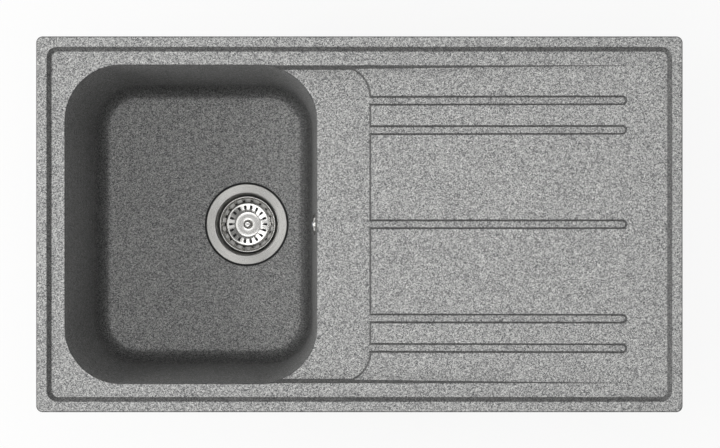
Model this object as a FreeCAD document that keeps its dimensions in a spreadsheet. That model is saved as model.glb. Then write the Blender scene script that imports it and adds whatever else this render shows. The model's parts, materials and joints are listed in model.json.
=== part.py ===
"""Inset kitchen sink with one bowl, a drainboard, a basket strainer waste and an overflow.

Millimetres. The origin is the centre of the rim's outline, level with the worktop's top face. +X runs
from the bowl to the drainboard, +Y to the back, +Z up. Each driving size stands once in the sheet, and the
rest is worked out from them.
"""
import FreeCAD, Part
import math
import os
import Sketcher
from FreeCAD import Rotation, Vector

TOP = "XY_Plane"
FRONT = "XZ_Plane"
SIDE = "YZ_Plane"
NEAR = 0.01        # how closely an edge has to lie where it is looked for

doc = FreeCAD.newDocument("kitchen_sink")


# ---------------------------------------------------------------- sizes

class Size:
    """A length or an angle, as the sheet's formula and as its present value."""

    def __init__(self, text, value):
        self.text = text
        self.value = value

    def joined(self, sign, other, result):
        other = as_size(other)
        return Size(f"({self.text} {sign} {other.text})", result(self.value, other.value))

    def __add__(self, other):
        return self.joined("+", other, lambda a, b: a + b)

    def __sub__(self, other):
        return self.joined("-", other, lambda a, b: a - b)

    def __mul__(self, other):
        return self.joined("*", other, lambda a, b: a * b)

    def __truediv__(self, other):
        return self.joined("/", other, lambda a, b: a / b)

    def __neg__(self):
        return Size(f"(-1 * {self.text})", -self.value)

    def __radd__(self, other):
        return as_size(other) + self

    def __rsub__(self, other):
        return as_size(other) - self

    def __rmul__(self, other):
        return as_size(other) * self


def as_size(number):
    return number if isinstance(number, Size) else Size(str(float(number)), float(number))


def tangent(angle):
    return Size(f"tan({angle.text})", math.tan(math.radians(angle.value)))


def sine(angle):
    return Size(f"sin({angle.text})", math.sin(math.radians(angle.value)))


def cosine(angle):
    return Size(f"cos({angle.text})", math.cos(math.radians(angle.value)))


def slope_angle(rise, run):
    return Size(f"atan({rise.text} / {run.text})", math.degrees(math.atan(rise.value / run.value)))


sheet = doc.addObject("Spreadsheet::Sheet", "sizes")


def size(alias, number):
    """Writes one driving size into the sheet and hands it back as a formula."""
    size.row += 1
    cell = f"B{size.row}"
    sheet.set(f"A{size.row}", alias)
    sheet.set(cell, str(number))
    sheet.setAlias(cell, alias)
    return Size(f"sizes.{alias}", float(number))


size.row = 0

# Rim and border
rim_length = size("rim_length", 860)
rim_width = size("rim_width", 500)
rim_corner = size("rim_corner", 8.5)
rim_height = size("rim_height", 8)
rim_edge_round = size("rim_edge_round", 2)
seat_width = size("seat_width", 15)              # flat underside of the rim, round the cut-out
shell = size("shell", 9)                         # wall of the moulding
bead_inset = size("bead_inset", 14)              # outline to the top of the border's inner step
bead_step = size("bead_step", 4)
bead_run = size("bead_run", 6)
bead_corner = size("bead_corner", 15)
bead_round = size("bead_round", 2)
under_corner = size("under_corner", 6)

# Bowl
bowl_length = size("bowl_length", 335.5)
bowl_margin = size("bowl_margin", 38)            # outline to the bowl, at the left, the front and the back
bowl_corner = size("bowl_corner", 74.5)
bowl_depth = size("bowl_depth", 190)             # from the rim's top to the floor
bowl_draft = size("bowl_draft", 4)
floor_round = size("floor_round", 25)
bowl_lip_round = size("bowl_lip_round", 1.5)

# Drainboard
tray_relief = size("tray_relief", 0.2)           # the tray's side walls start this far inside the bowl's line
tray_lean = size("tray_lean", 24)                # side walls from the vertical
apron_width = size("apron_width", 70)            # bowl to the platforms
platform_drop = size("platform_drop", 8.8)       # below the ledge at the platforms' bowl end
board_end_margin = size("board_end_margin", 48)  # outline to where the platforms reach the ledge
groove_depth = size("groove_depth", 2.6)
groove_width = size("groove_width", 10.5)        # at half depth
groove_lean = size("groove_lean", 40)
groove_end_margin = size("groove_end_margin", 75.4)
groove_end_round = size("groove_end_round", 3.9)
groove_foot_round = size("groove_foot_round", 1)
brink_round = size("brink_round", 1)             # top edges of the grooves and of the platforms' step
groove_inner = size("groove_inner", 125.9)       # middle of the board to a groove of the inner pair
groove_outer = size("groove_outer", 165.3)
platform_corner = size("platform_corner", 40)

# Openings and recesses of the moulding
drain_offset = size("drain_offset", 61)          # right of the bowl's middle
drain_bore = size("drain_bore", 91)
flange_recess_bore = size("flange_recess_bore", 122)
flange_recess_depth = size("flange_recess_depth", 2.5)
overflow_drop = size("overflow_drop", 54)        # ledge to the overflow's middle
overflow_bore = size("overflow_bore", 26)
tap_bore = size("tap_bore", 35)                  # blind recess below, to be opened for a tap
tap_skin = size("tap_skin", 4)
seal_inset = size("seal_inset", 2.5)
seal_width = size("seal_width", 6)
seal_height = size("seal_height", 3)

# Fixing clamps
worktop = size("worktop", 38)                    # thickness that the clamps grip
clamp_inset = size("clamp_inset", 21)            # outline to the screws
clamp_margin = size("clamp_margin", 130)         # outline's ends to the outer clamps of the long sides
boss_bore = size("boss_bore", 18)
boss_height = size("boss_height", 16)
insert_bore = size("insert_bore", 9)
insert_length = size("insert_length", 11)
screw_thread = size("screw_thread", 6)
screw_head_width = size("screw_head_width", 10)
screw_head_height = size("screw_head_height", 4)
claw_width = size("claw_width", 14)
claw_reach = size("claw_reach", 32)
claw_plate = size("claw_plate", 2.5)
claw_rise = size("claw_rise", 7)
claw_slack = size("claw_slack", 1)               # claw to worktop before the screw is tightened
claw_tooth = size("claw_tooth", 2)
collar_overhang = size("collar_overhang", 1)     # the screw's collar past its hexagon

# Strainer dish and basket
flange_bore = size("flange_bore", 116)
sheet_metal = size("sheet_metal", 0.9)
flange_fall = size("flange_fall", 0.4)           # the flange's outer edge below the floor of the bowl
dish_mouth = size("dish_mouth", 88)
dish_foot = size("dish_foot", 82)
dish_depth = size("dish_depth", 35.3)
mouth_round = size("mouth_round", 3)
foot_round = size("foot_round", 5)
dimple_bore = size("dimple_bore", 19)
dimple_depth = size("dimple_depth", 3.5)
grid_hole = size("grid_hole", 6)
grid_inner = size("grid_inner", 14)
grid_outer = size("grid_outer", 22)
basket_bore = size("basket_bore", 82)            # over the rolled rim
basket_top = size("basket_top", 15)              # rim below the bowl's floor
basket_height = size("basket_height", 14)
basket_foot = size("basket_foot", 62)
basket_sheet = size("basket_sheet", 0.8)
rim_roll = size("rim_roll", 2.4)
basket_foot_round = size("basket_foot_round", 3)
basket_middle = size("basket_middle", 36.6)
basket_cone = size("basket_cone", 1.7)           # rise of the basket's floor from its foot to its middle
basket_middle_rise = size("basket_middle_rise", 1.5)
wall_slot_inner = size("wall_slot_inner", 32.5)
wall_slot_outer = size("wall_slot_outer", 37.5)
wall_slot_width = size("wall_slot_width", 7)
floor_slot_inner = size("floor_slot_inner", 22.5)
floor_slot_outer = size("floor_slot_outer", 28)
floor_slot_width = size("floor_slot_width", 3.2)
knob_bore = size("knob_bore", 11.2)
knob_height = size("knob_height", 13)
knob_waist = size("knob_waist", 7)
stud_bore = size("stud_bore", 4)
seal_disc_bore = size("seal_disc_bore", 52)
seal_lip_bore = size("seal_lip_bore", 60)
seal_disc_thick = size("seal_disc_thick", 2.6)
washer_bore = size("washer_bore", 28)
washer_thick = size("washer_thick", 1)
peg_bore = size("peg_bore", 8.2)
peg_length = size("peg_length", 12)
peg_collar = size("peg_collar", 15)
peg_slot = size("peg_slot", 1.4)
seal_lip_foot = size("seal_lip_foot", 2)         # width of the seal's lip where it meets the dish
knob_foot_flare = size("knob_foot_flare", 1)

# Waste body below the bowl
gasket_thick = size("gasket_thick", 3)
body_flange = size("body_flange", 115)
body_flange_thick = size("body_flange_thick", 4)
body_bore = size("body_bore", 93)
body_wall = size("body_wall", 3)
body_depth = size("body_depth", 46)              # top of its flange to its floor
outlet_thread = size("outlet_thread", 47.8)      # G 1 1/2 outside thread
outlet_bore = size("outlet_bore", 41.2)
outlet_length = size("outlet_length", 26)
hub_bore = size("hub_bore", 24)
hub_height = size("hub_height", 14)
spoke_width = size("spoke_width", 4)
brass_bore = size("brass_bore", 18)
brass_length = size("brass_length", 12)
centre_thread = size("centre_thread", 12)
centre_head = size("centre_head", 16.8)
centre_head_height = size("centre_head_height", 3)
centre_length = size("centre_length", 30)
centre_socket = size("centre_socket", 8.8)
centre_socket_depth = size("centre_socket_depth", 24)

# Overflow
cover_bore = size("cover_bore", 29)
cover_stand = size("cover_stand", 3.2)
cover_slot_count = size("cover_slot_count", 8)
cover_screw = size("cover_screw", 4)
cover_screw_head = size("cover_screw_head", 8)
cover_screw_head_height = size("cover_screw_head_height", 1.4)
cover_sheet = size("cover_sheet", 1)
cover_slot_width = size("cover_slot_width", 3)
cover_slot_inner = size("cover_slot_inner", 6)
overflow_flange = size("overflow_flange", 40)
overflow_flange_thick = size("overflow_flange_thick", 3)
chamber_bore = size("chamber_bore", 26)
chamber_wall = size("chamber_wall", 2.5)
chamber_length = size("chamber_length", 24)
post_bore = size("post_bore", 9)
pipe_bore = size("pipe_bore", 20)                # outside of the pipe
pipe_wall = size("pipe_wall", 1.7)
pipe_bend = size("pipe_bend", 32)
spigot_thread = size("spigot_thread", 26)
spigot_length = size("spigot_length", 26)
socket_depth = size("socket_depth", 18)
inlet_drop = size("inlet_drop", 34)              # top of the waste body to the overflow inlet's axis
nut_bore = size("nut_bore", 34)
nut_grip = size("nut_grip", 13)
nut_wall = size("nut_wall", 3)
cone_thick = size("cone_thick", 4)
nut_rib = size("nut_rib", 2)

# Small forms and clearances
cut_over = size("cut_over", 1)                   # how far a cutting shape passes the face it starts from
edge_break = size("edge_break", 1)               # small rounds of moulded and turned edges
driver_slot = size("driver_slot", 1)             # width of the slot in the overflow's screw
centre_slot = size("centre_slot", 2)             # width of the slot in the centre screw
gasket_edge = size("gasket_edge", 1)             # how far a gasket stays inside its flange
fit = size("fit", 0.1)                           # threads, pressed inserts and turned fits
play = size("play", 0.3)                         # pieces that move past each other, and pipe in socket
doc.recompute()

WALL_SLOTS = 18
FLOOR_SLOTS = 18
GRID_HOLES_INNER = 8
GRID_HOLES_OUTER = 14
NUT_RIBS = 12
SPOKES = 3
HEX_SIDES = 6
CLAW_TEETH = 3

# Worked out from the sizes above
rim_right = rim_length / 2
rim_back = rim_width / 2
ledge_z = rim_height - bead_step
floor_z = rim_height - bowl_depth
bowl_half_length = bowl_length / 2
bowl_half_width = rim_back - bowl_margin
bowl_x = -rim_right + bowl_margin + bowl_half_length
bowl_right = bowl_x + bowl_half_length
platform_x = bowl_right + apron_width
board_end_x = rim_right - board_end_margin
groove_end_x = rim_right - groove_end_margin
tray_half_width = bowl_half_width - tray_relief
board_rise = board_end_x - platform_x
platform_z = ledge_z - platform_drop
apron_z = platform_z - groove_depth
arc_y = groove_outer + groove_width / 2
drain_x = bowl_x + drain_offset
overflow_z = ledge_z - overflow_drop
wall_x = bowl_right - overflow_drop * tangent(bowl_draft)
wall_through = shell * cosine(bowl_draft)
clamp_x = rim_right - clamp_inset
clamp_y = rim_back - clamp_inset
clamp_pitch = rim_right - clamp_margin
claw_top_z = -(worktop + claw_slack)
claw_base_z = claw_top_z - claw_rise - claw_plate

FULL_TURN = 360
OPEN_AIR = 15       # how far a cutting shape stands out into the air


# ---------------------------------------------------------------- drawing helpers

def number(item):
    return as_size(item).value


def bind(thing, name, item):
    """Ties one property to the sheet, or sets it where it is a plain number."""
    if isinstance(item, Size):
        thing.setExpression(name, item.text)
    else:
        setattr(thing, name, item)


def place(thing, x=0, y=0, z=0, axis=None, angle=0):
    """Puts a finished piece where the formulas say."""
    if axis is not None:
        thing.Placement = FreeCAD.Placement(Vector(), Rotation(axis, number(angle)))
        if isinstance(angle, Size):
            thing.setExpression(".Placement.Rotation.Angle", angle.text)
    for name, item in (("x", x), ("y", y), ("z", z)):
        thing.setExpression(f".Placement.Base.{name}", as_size(item).text)
    return thing


def new_body(label):
    thing = doc.addObject("PartDesign::Body", label)
    thing.Label = label
    return thing


def origin_plane(body, role):
    return next(item for item in body.Origin.OriginFeatures if item.Role == role)


def new_sketch(body, role, offset=0):
    """A sketch on one of the body's own planes, moved along the plane's normal by offset."""
    sketch = body.newObject("Sketcher::SketchObject", f"{body.Name}_sketch")
    sketch.AttachmentSupport = (origin_plane(body, role), [""])
    sketch.MapMode = "FlatFace"
    sketch.setExpression(".AttachmentOffset.Base.z", as_size(offset).text)
    return sketch


def loose_sketch(label, role, offset=0):
    """A sketch outside any body, for a cutting shape."""
    sketch = doc.addObject("Sketcher::SketchObject", label)
    turns = {TOP: Rotation(), FRONT: Rotation(Vector(1, 0, 0), 90), SIDE: Rotation(0.5, 0.5, 0.5, 0.5)}
    lift = {TOP: Vector(0, 0, 1), FRONT: Vector(0, -1, 0), SIDE: Vector(1, 0, 0)}[role]
    sketch.Placement = FreeCAD.Placement(lift * number(offset), turns[role])
    if isinstance(offset, Size):
        axis = {TOP: "z", FRONT: "y", SIDE: "x"}[role]
        text = f"(-1 * {offset.text})" if role == FRONT else offset.text
        sketch.setExpression(f".Placement.Base.{axis}", text)
    return sketch


def hold_point(sketch, index, end, x, y):
    """Fixes one point of a sketch by its two coordinates."""
    for kind, item, axis in (("DistanceX", x, -2), ("DistanceY", y, -1)):
        if not isinstance(item, Size) and item == 0:
            sketch.addConstraint(Sketcher.Constraint("PointOnObject", index, end, axis))
            continue
        held = sketch.addConstraint(Sketcher.Constraint(kind, -1, 1, index, end, number(item)))
        if isinstance(item, Size):
            sketch.setExpression(f"Constraints[{held}]", item.text)


def hold_radius(sketch, index, radius):
    held = sketch.addConstraint(Sketcher.Constraint("Radius", index, number(radius)))
    if isinstance(radius, Size):
        sketch.setExpression(f"Constraints[{held}]", radius.text)


def circle(sketch, x, y, radius):
    index = sketch.addGeometry(Part.Circle(Vector(number(x), number(y), 0), Vector(0, 0, 1), number(radius)))
    hold_point(sketch, index, 3, x, y)
    hold_radius(sketch, index, radius)


def corner_arc(before, corner, after, radius):
    """The round of one corner: where it meets its two sides, its arc and whether it runs clockwise."""
    back = (before - corner).normalize()
    ahead = (after - corner).normalize()
    half = back.getAngle(ahead) / 2
    reach = radius / math.tan(half)
    first = corner + back * reach
    last = corner + ahead * reach
    centre = corner + (back + ahead).normalize() * (radius / math.sin(half))
    clockwise = (corner - before).cross(after - corner).z < 0
    ends = (last, first) if clockwise else (first, last)
    angles = [math.atan2(end.y - centre.y, end.x - centre.x) for end in ends]
    arc = Part.ArcOfCircle(Part.Circle(centre, Vector(0, 0, 1), radius), *angles)
    return first, last, arc, clockwise


def outline(sketch, corners, closed=True):
    """Draws sides through corners (x, y) or (x, y, radius); a third value rounds that corner."""
    points = [Vector(number(c[0]), number(c[1]), 0) for c in corners]
    count = len(points)
    arcs = {}
    starts = list(points)
    ends = list(points)
    for i, corner in enumerate(corners):
        if len(corner) == 3:
            first, last, arc, clockwise = corner_arc(
                points[i - 1], points[i], points[(i + 1) % count], number(corner[2]))
            ends[i], starts[i] = first, last
            arcs[i] = (arc, clockwise)
    sides = count if closed else count - 1
    base = len(sketch.Geometry)
    for i in range(sides):
        sketch.addGeometry(Part.LineSegment(starts[i], ends[(i + 1) % count]))
    for i, corner in enumerate(corners):
        previous = base + (i - 1) % count
        following = base + i
        if i in arcs:
            arc, clockwise = arcs[i]
            arc_index = sketch.addGeometry(arc)
            point_index = sketch.addGeometry(Part.Point(points[i]), True)
            hold_point(sketch, point_index, 1, corner[0], corner[1])
            sketch.addConstraint(Sketcher.Constraint("PointOnObject", point_index, 1, previous))
            sketch.addConstraint(Sketcher.Constraint("PointOnObject", point_index, 1, following))
            enter, leave = (2, 1) if clockwise else (1, 2)
            sketch.addConstraint(Sketcher.Constraint("Tangent", previous, 2, arc_index, enter))
            sketch.addConstraint(Sketcher.Constraint("Tangent", arc_index, leave, following, 1))
            hold_radius(sketch, arc_index, corner[2])
        elif closed or 0 < i < count - 1:
            sketch.addConstraint(Sketcher.Constraint("Coincident", previous, 2, following, 1))
            hold_point(sketch, following, 1, corner[0], corner[1])
        elif i == 0:
            hold_point(sketch, following, 1, corner[0], corner[1])
        else:
            hold_point(sketch, previous, 2, corner[0], corner[1])


def rounded_rectangle(sketch, x, half_length, half_width, radius):
    outline(sketch, [(x - half_length, -half_width, radius), (x + half_length, -half_width, radius),
                     (x + half_length, half_width, radius), (x - half_length, half_width, radius)])


def slot(sketch, first, last, half_width, angle=0):
    """A straight-ended slot between two radii, along a direction in degrees."""
    across = math.radians(angle + 90)
    along = math.radians(angle)
    corners = []
    for radius, side in ((first, -1), (last, -1), (last, 1), (first, 1)):
        x = radius * math.cos(along) + half_width * (side * math.cos(across))
        y = radius * math.sin(along) + half_width * (side * math.sin(across))
        corners.append((x, y))
    outline(sketch, corners)


def feature(body, kind, sketch=None, **values):
    """Adds one feature to a body, with its sizes tied to the sheet, and makes it the tip."""
    item = body.newObject(f"PartDesign::{kind}", f"{body.Name}_{kind.lower()}")
    if sketch is not None:
        item.Profile = sketch
    for name, value in values.items():
        bind(item, name, value)
    body.Tip = item
    doc.recompute()
    return item


def pad(body, sketch, length, **values):
    return feature(body, "Pad", sketch, Length=length, **values)


def pocket(body, sketch, length, **values):
    """Cuts a sketch away, and stops the build where the cut takes nothing."""
    before = body.Tip.Shape.Volume
    item = feature(body, "Pocket", sketch, Length=length, **values)
    if item.Shape.Volume > before - NEAR:
        raise RuntimeError(f"{item.Name} cuts nothing")
    return item


def revolve(body, sketch, axis="V_Axis"):
    return feature(body, "Revolution", sketch, ReferenceAxis=(sketch, [axis]), Angle=FULL_TURN)


def turned(label, corners, role=FRONT, axis="V_Axis"):
    """A turned piece: its half section (radius, height) revolved about the upright axis."""
    body = new_body(label)
    sketch = new_sketch(body, role)
    outline(sketch, corners)
    revolve(body, sketch, axis)
    return body


def turned_along(label, corners):
    """A turned piece whose axis lies along X: its half section is given as (distance, radius)."""
    return turned(label, corners, axis="H_Axis")


def around(body, item, count, axis_role="Z_Axis"):
    """Repeats a feature evenly round the body's axis."""
    pattern = body.newObject("PartDesign::PolarPattern", f"{body.Name}_pattern")
    pattern.Originals = [item]
    pattern.Axis = (origin_plane(body, axis_role), [""])
    pattern.Angle = FULL_TURN
    pattern.Occurrences = count
    body.Tip = pattern
    doc.recompute()
    return pattern


def edge_names(shape, wanted):
    return [f"Edge{i}" for i, edge in enumerate(shape.Edges, 1) if wanted(edge)]


def face_names(shape, wanted):
    return [f"Face{i}" for i, face in enumerate(shape.Faces, 1) if wanted(face)]


def at_height(edge, z):
    box = edge.BoundBox
    return abs(box.ZMin - z) < NEAR and abs(box.ZMax - z) < NEAR


def within(edge, half_length, half_width, x=0):
    """Whether an edge lies inside a rectangle seen from above."""
    box = edge.BoundBox
    return (box.XMin > x - half_length - NEAR and box.XMax < x + half_length + NEAR
            and box.YMin > -half_width - NEAR and box.YMax < half_width + NEAR)


def dress(body, kind, names, **values):
    """A fillet, chamfer or draft on named edges or faces of the body's tip."""
    base = body.Tip
    if not names:
        raise RuntimeError(f"{body.Name}: no edge found for its {kind}")
    return feature(body, kind, None, Base=(base, names), **values)


def fillet(body, names, radius):
    return dress(body, "Fillet", names, Radius=radius)


def primitive(kind, label, **values):
    item = doc.addObject(f"Part::{kind}", label)
    for name, value in values.items():
        bind(item, name, value)
    return item


def joined(label, pieces):
    item = doc.addObject("Part::MultiFuse", label)
    item.Shapes = pieces
    return item


def common(label, pieces):
    item = doc.addObject("Part::MultiCommon", label)
    item.Shapes = pieces
    return item


def cut(label, base, tool):
    item = doc.addObject("Part::Cut", label)
    item.Base = base
    item.Tool = tool
    return item


def group(label, pieces):
    item = doc.addObject("Part::Compound", label)
    item.Links = pieces
    return item


def extruded(label, sketch, length, symmetric=False, taper=0):
    """A cutting shape drawn out square to its sketch."""
    item = doc.addObject("Part::Extrusion", label)
    item.Base = sketch
    item.DirMode = "Normal"
    item.Solid = True
    item.Symmetric = symmetric
    bind(item, "LengthFwd", length)
    bind(item, "TaperAngle", taper)
    return item


def rounded(label, base, radius, wanted):
    """A copy of a shape with its wanted edges rounded."""
    item = doc.addObject("Part::Fillet", label)
    item.Base = base
    size_now = number(radius)
    item.Edges = [(i, size_now, size_now) for i, edge in enumerate(base.Shape.Edges, 1) if wanted(edge)]
    return item


# ---------------------------------------------------------------- the moulding

def lean_walls(body, level, half_height):
    """Leans a body's upright walls about a level, so that the body narrows downwards."""
    plane = body.newObject("PartDesign::Plane", f"{body.Name}_level")
    plane.AttachmentSupport = (origin_plane(body, TOP), [""])
    plane.MapMode = "FlatFace"
    plane.setExpression(".AttachmentOffset.Base.z", level.text)
    doc.recompute()
    names = face_names(body.Tip.Shape, lambda f: f.BoundBox.ZLength > number(half_height))
    return dress(body, "Draft", names, Angle=bowl_draft, NeutralPlane=(plane, [""]), Reversed=True)


def bowl_form(body, extra, top, bottom):
    """One of the bowl's two skins: a rounded block that narrows downwards and is rounded at its foot."""
    sketch = new_sketch(body, TOP, top)
    rounded_rectangle(sketch, bowl_x, bowl_half_length + extra, bowl_half_width + extra, bowl_corner + extra)
    pad(body, sketch, top - bottom, Reversed=True)
    lean_walls(body, ledge_z, bowl_depth / 2)
    foot = number(bottom)
    fillet(body, edge_names(body.Tip.Shape, lambda e: at_height(e, foot)), floor_round + extra)


def clamp_places():
    """Where the eight clamps stand and how far each is turned: back, left, front and right sides."""
    middle = as_size(0)
    back = [(f"back_{n}", clamp_pitch * (n - 2), clamp_y, 0) for n in (1, 2, 3)]
    left = [("left", -clamp_x, middle, 90)]
    front = [(f"front_{n}", clamp_pitch * (n - 2), -clamp_y, 180) for n in (1, 2, 3)]
    right = [("right", clamp_x, middle, 270)]
    return back + left + front + right


def make_blank():
    """The moulding before its bowl and drainboard are cut."""
    body = new_body("sink_blank")
    middle = as_size(0)

    bowl_form(body, shell, ledge_z, floor_z - shell)

    slab = new_sketch(body, TOP)
    rounded_rectangle(slab, middle, rim_right, rim_back, rim_corner)
    pad(body, slab, rim_height)

    under = new_sketch(body, TOP)
    rounded_rectangle(under, middle, rim_right - seat_width, rim_back - seat_width, under_corner)
    pad(body, under, shell - ledge_z, Reversed=True)

    tray = new_sketch(body, FRONT)
    outline(tray, [(bowl_x, 0), (bowl_x, apron_z - shell), (platform_x, apron_z - shell),
                   (board_end_x, ledge_z - shell), (board_end_x, 0)])
    pad(body, tray, (tray_half_width + shell) * 2, SideType="Symmetric")

    bosses = new_sketch(body, TOP)
    for _, x, y, _ in clamp_places():
        circle(bosses, x, y, boss_bore / 2)
    pad(body, bosses, boss_height, Reversed=True)

    insert_holes = new_sketch(body, TOP, -boss_height)
    for _, x, y, _ in clamp_places():
        circle(insert_holes, x, y, insert_bore / 2)
    pocket(body, insert_holes, insert_length + play, Reversed=True)

    seal_groove = new_sketch(body, TOP)
    for inset in (seal_inset, seal_inset + seal_width):
        rounded_rectangle(seal_groove, middle, rim_right - inset, rim_back - inset, rim_corner - seal_inset)
    pocket(body, seal_groove, seal_height, Reversed=True)

    border_top = new_sketch(body, TOP, rim_height)
    rounded_rectangle(border_top, middle, rim_right - bead_inset, rim_back - bead_inset, bead_corner)
    border_foot = new_sketch(body, TOP, ledge_z)
    foot_inset = bead_inset + bead_run
    foot_corner = bead_corner - bead_run
    rounded_rectangle(border_foot, middle, rim_right - foot_inset, rim_back - foot_inset, foot_corner)
    feature(body, "SubtractiveLoft", border_top, Sections=[border_foot], Ruled=True)

    top, ledge = number(rim_height), number(ledge_z)
    inner = number(rim_right - bead_inset)
    shape = body.Tip.Shape
    step = edge_names(shape, lambda e: (at_height(e, top) or at_height(e, ledge)) and within(e, inner, inner))
    fillet(body, step, bead_round)
    rim = edge_names(body.Tip.Shape, lambda e: at_height(e, top) and not within(e, inner, inner))
    fillet(body, rim, rim_edge_round)
    return body


def tray_section():
    """The tray's cross-section drawn out along the board: its two side walls lean outwards."""
    sketch = loose_sketch("tray_section", SIDE, bowl_x)
    top = ledge_z + OPEN_AIR
    bottom = apron_z - OPEN_AIR
    lean = tangent(tray_lean)
    wide = tray_half_width + lean * OPEN_AIR
    narrow = tray_half_width - (ledge_z - bottom) * lean
    outline(sketch, [(-wide, top), (-narrow, bottom), (narrow, bottom), (wide, top)])
    return extruded("tray_sides", sketch, rim_length)


def platform_height(x):
    """The sloping platforms' height at a place along the board."""
    return ledge_z - platform_drop * (board_end_x - x) / board_rise


def make_tray_cut(sides):
    """Cuts the tray down to its platforms, which rise to the ledge at the far end."""
    sketch = loose_sketch("platform_profile", FRONT)
    near = platform_x - platform_corner
    far = board_end_x + OPEN_AIR
    outline(sketch, [(near, platform_height(near)), (far, platform_height(far)),
                     (far, ledge_z + OPEN_AIR), (near, ledge_z + OPEN_AIR)])
    return common("tray_cut", [extruded("platform_air", sketch, rim_width, symmetric=True), sides])


def make_apron_cut(sides):
    """Cuts the flat apron between the bowl and the platforms, round the two tap places."""
    sketch = loose_sketch("apron_plan", TOP, apron_z)
    reach = arc_y + platform_corner
    outline(sketch, [(bowl_x, -reach), (platform_x, -reach, platform_corner),
                     (platform_x, reach, platform_corner), (bowl_x, reach)])
    air = extruded("apron_air", sketch, OPEN_AIR, taper=groove_lean)
    doc.recompute()
    foot = number(apron_z)
    soft = rounded("apron_form", air, groove_foot_round, lambda e: at_height(e, foot)
                   and e.BoundBox.XMax > number(bowl_x) + NEAR)
    return common("apron_cut", [soft, sides])


def make_groove_cut():
    """Cuts the five grooves square to the sloping platforms, all running out into the apron."""
    sketch = doc.addObject("Sketcher::SketchObject", "groove_plan")
    half = groove_width / 2 - groove_depth / 2 * tangent(groove_lean)
    mouth = -fit
    end = groove_end_x - platform_x
    for middle in (as_size(0), groove_inner, -groove_inner, groove_outer, -groove_outer):
        outline(sketch, [(mouth, middle - half), (end, middle - half, groove_end_round),
                         (end, middle + half, groove_end_round), (mouth, middle + half)])
    slope = slope_angle(platform_drop, board_rise)
    place(sketch, platform_x, 0, apron_z, Vector(0, -1, 0), slope)
    air = extruded("groove_air", sketch, groove_depth * 2, taper=groove_lean)
    doc.recompute()
    floor = sketch.Placement.inverse()
    start = number(mouth)

    def along_floor(edge):
        points = [floor.multVec(point) for point in edge.discretize(3)]
        return all(abs(point.z) < NEAR for point in points) and points[1].x > start + NEAR

    return rounded("groove_cut", air, groove_foot_round, along_floor)


def make_overflow_bore():
    bore = primitive("Cylinder", "overflow_bore_cut", Radius=overflow_bore / 2, Height=shell * 3)
    bore.Placement = FreeCAD.Placement(Vector(), Rotation(Vector(0, 1, 0), number(bowl_draft) + 90))
    bore.setExpression(".Placement.Rotation.Angle", f"({bowl_draft.text} + 90)")
    start = (wall_x - shell, as_size(0), overflow_z + shell * sine(bowl_draft))
    for axis, item in zip("xyz", start):
        bore.setExpression(f".Placement.Base.{axis}", item.text)
    return bore


def upright_cut(label, bore, bottom, top, x, y=0):
    """A round hole from one height to another."""
    hole = primitive("Cylinder", label, Radius=bore / 2, Height=top - bottom)
    return place(hole, x, y, bottom)


def off_bowl_wall(point):
    """How far a point lies from the bowl's leaning inner wall, measured level."""
    closing = (number(ledge_z) - point.z) * number(tangent(bowl_draft))
    half_length = number(bowl_half_length) - closing
    half_width = number(bowl_half_width) - closing
    radius = number(bowl_corner) - closing
    across = abs(point.x - number(bowl_x)) - (half_length - radius)
    along = abs(point.y) - (half_width - radius)
    if across > 0 and along > 0:
        return abs(math.hypot(across, along) - radius)
    return abs(max(across, along) - radius)


def on_bowl_lip(edge):
    """Whether an edge runs along the bowl's opening, where its wall meets the ledge, tray or apron."""
    low = number(apron_z) - NEAR
    high = number(ledge_z) + NEAR
    samples = edge.discretize(5)
    return all(low < point.z < high and off_bowl_wall(point) < NEAR * 5 for point in samples)


def on_brink(edge):
    """Whether an edge runs along the top of a groove or of the platforms' step."""
    samples = edge.discretize(5)
    middle = samples[len(samples) // 2]
    level = all(abs(point.z - number(platform_height(point.x))) < NEAR * 5 for point in samples)
    side = number(tray_half_width) - (number(ledge_z) - middle.z) * number(tangent(tray_lean))
    return level and middle.x < number(board_end_x) - NEAR and abs(middle.y) < side - NEAR


def make_sink_body():
    """The finished moulding: the blank less all its cuts, with the bowl's lip and the brinks rounded."""
    sides = tray_section()
    cavity = new_body("bowl_cavity")
    bowl_form(cavity, as_size(0), ledge_z + cut_over, floor_z)
    over_floor = floor_z + cut_over
    recess_z = floor_z - flange_recess_depth
    cuts = [
        cavity,
        make_tray_cut(sides),
        make_apron_cut(sides),
        make_groove_cut(),
        make_overflow_bore(),
        upright_cut("drain_cut", drain_bore, floor_z - shell * 2, over_floor, drain_x),
        upright_cut("flange_recess_cut", flange_recess_bore, recess_z, over_floor, drain_x),
    ]
    for side, y in (("back", arc_y), ("front", -arc_y)):
        cuts.append(upright_cut(f"tap_cut_{side}", tap_bore, apron_z - shell - cut_over, apron_z - tap_skin,
                                platform_x - platform_corner, y))
    sharp = cut("sink_sharp", make_blank(), joined("sink_cuts", cuts))
    doc.recompute()
    brinks = rounded("sink_brinks", sharp, brink_round, on_brink)
    doc.recompute()
    return rounded("sink_body", brinks, bowl_lip_round, on_bowl_lip)


def make_rim_seal():
    """The foam strip that fills the groove in the rim's underside."""
    body = new_body("rim_seal")
    sketch = new_sketch(body, TOP)
    for inset in (seal_inset + fit, seal_inset + seal_width - fit):
        rounded_rectangle(sketch, as_size(0), rim_right - inset, rim_back - inset, rim_corner - seal_inset)
    pad(body, sketch, seal_height - fit)
    return body


# ---------------------------------------------------------------- clamps

def make_clamp_inserts():
    """Brass inserts pressed into the bosses."""
    inserts = []
    for name, x, y, _ in clamp_places():
        outside = primitive("Cylinder", f"insert_outside_{name}", Radius=insert_bore / 2 - fit / 2,
                            Height=insert_length)
        thread = primitive("Cylinder", f"insert_thread_{name}", Radius=screw_thread / 2 + fit,
                           Height=insert_length)
        insert = cut(f"insert_{name}", outside, thread)
        inserts.append(place(insert, x, y, -boss_height))
    return group("clamp_inserts", inserts)


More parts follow.
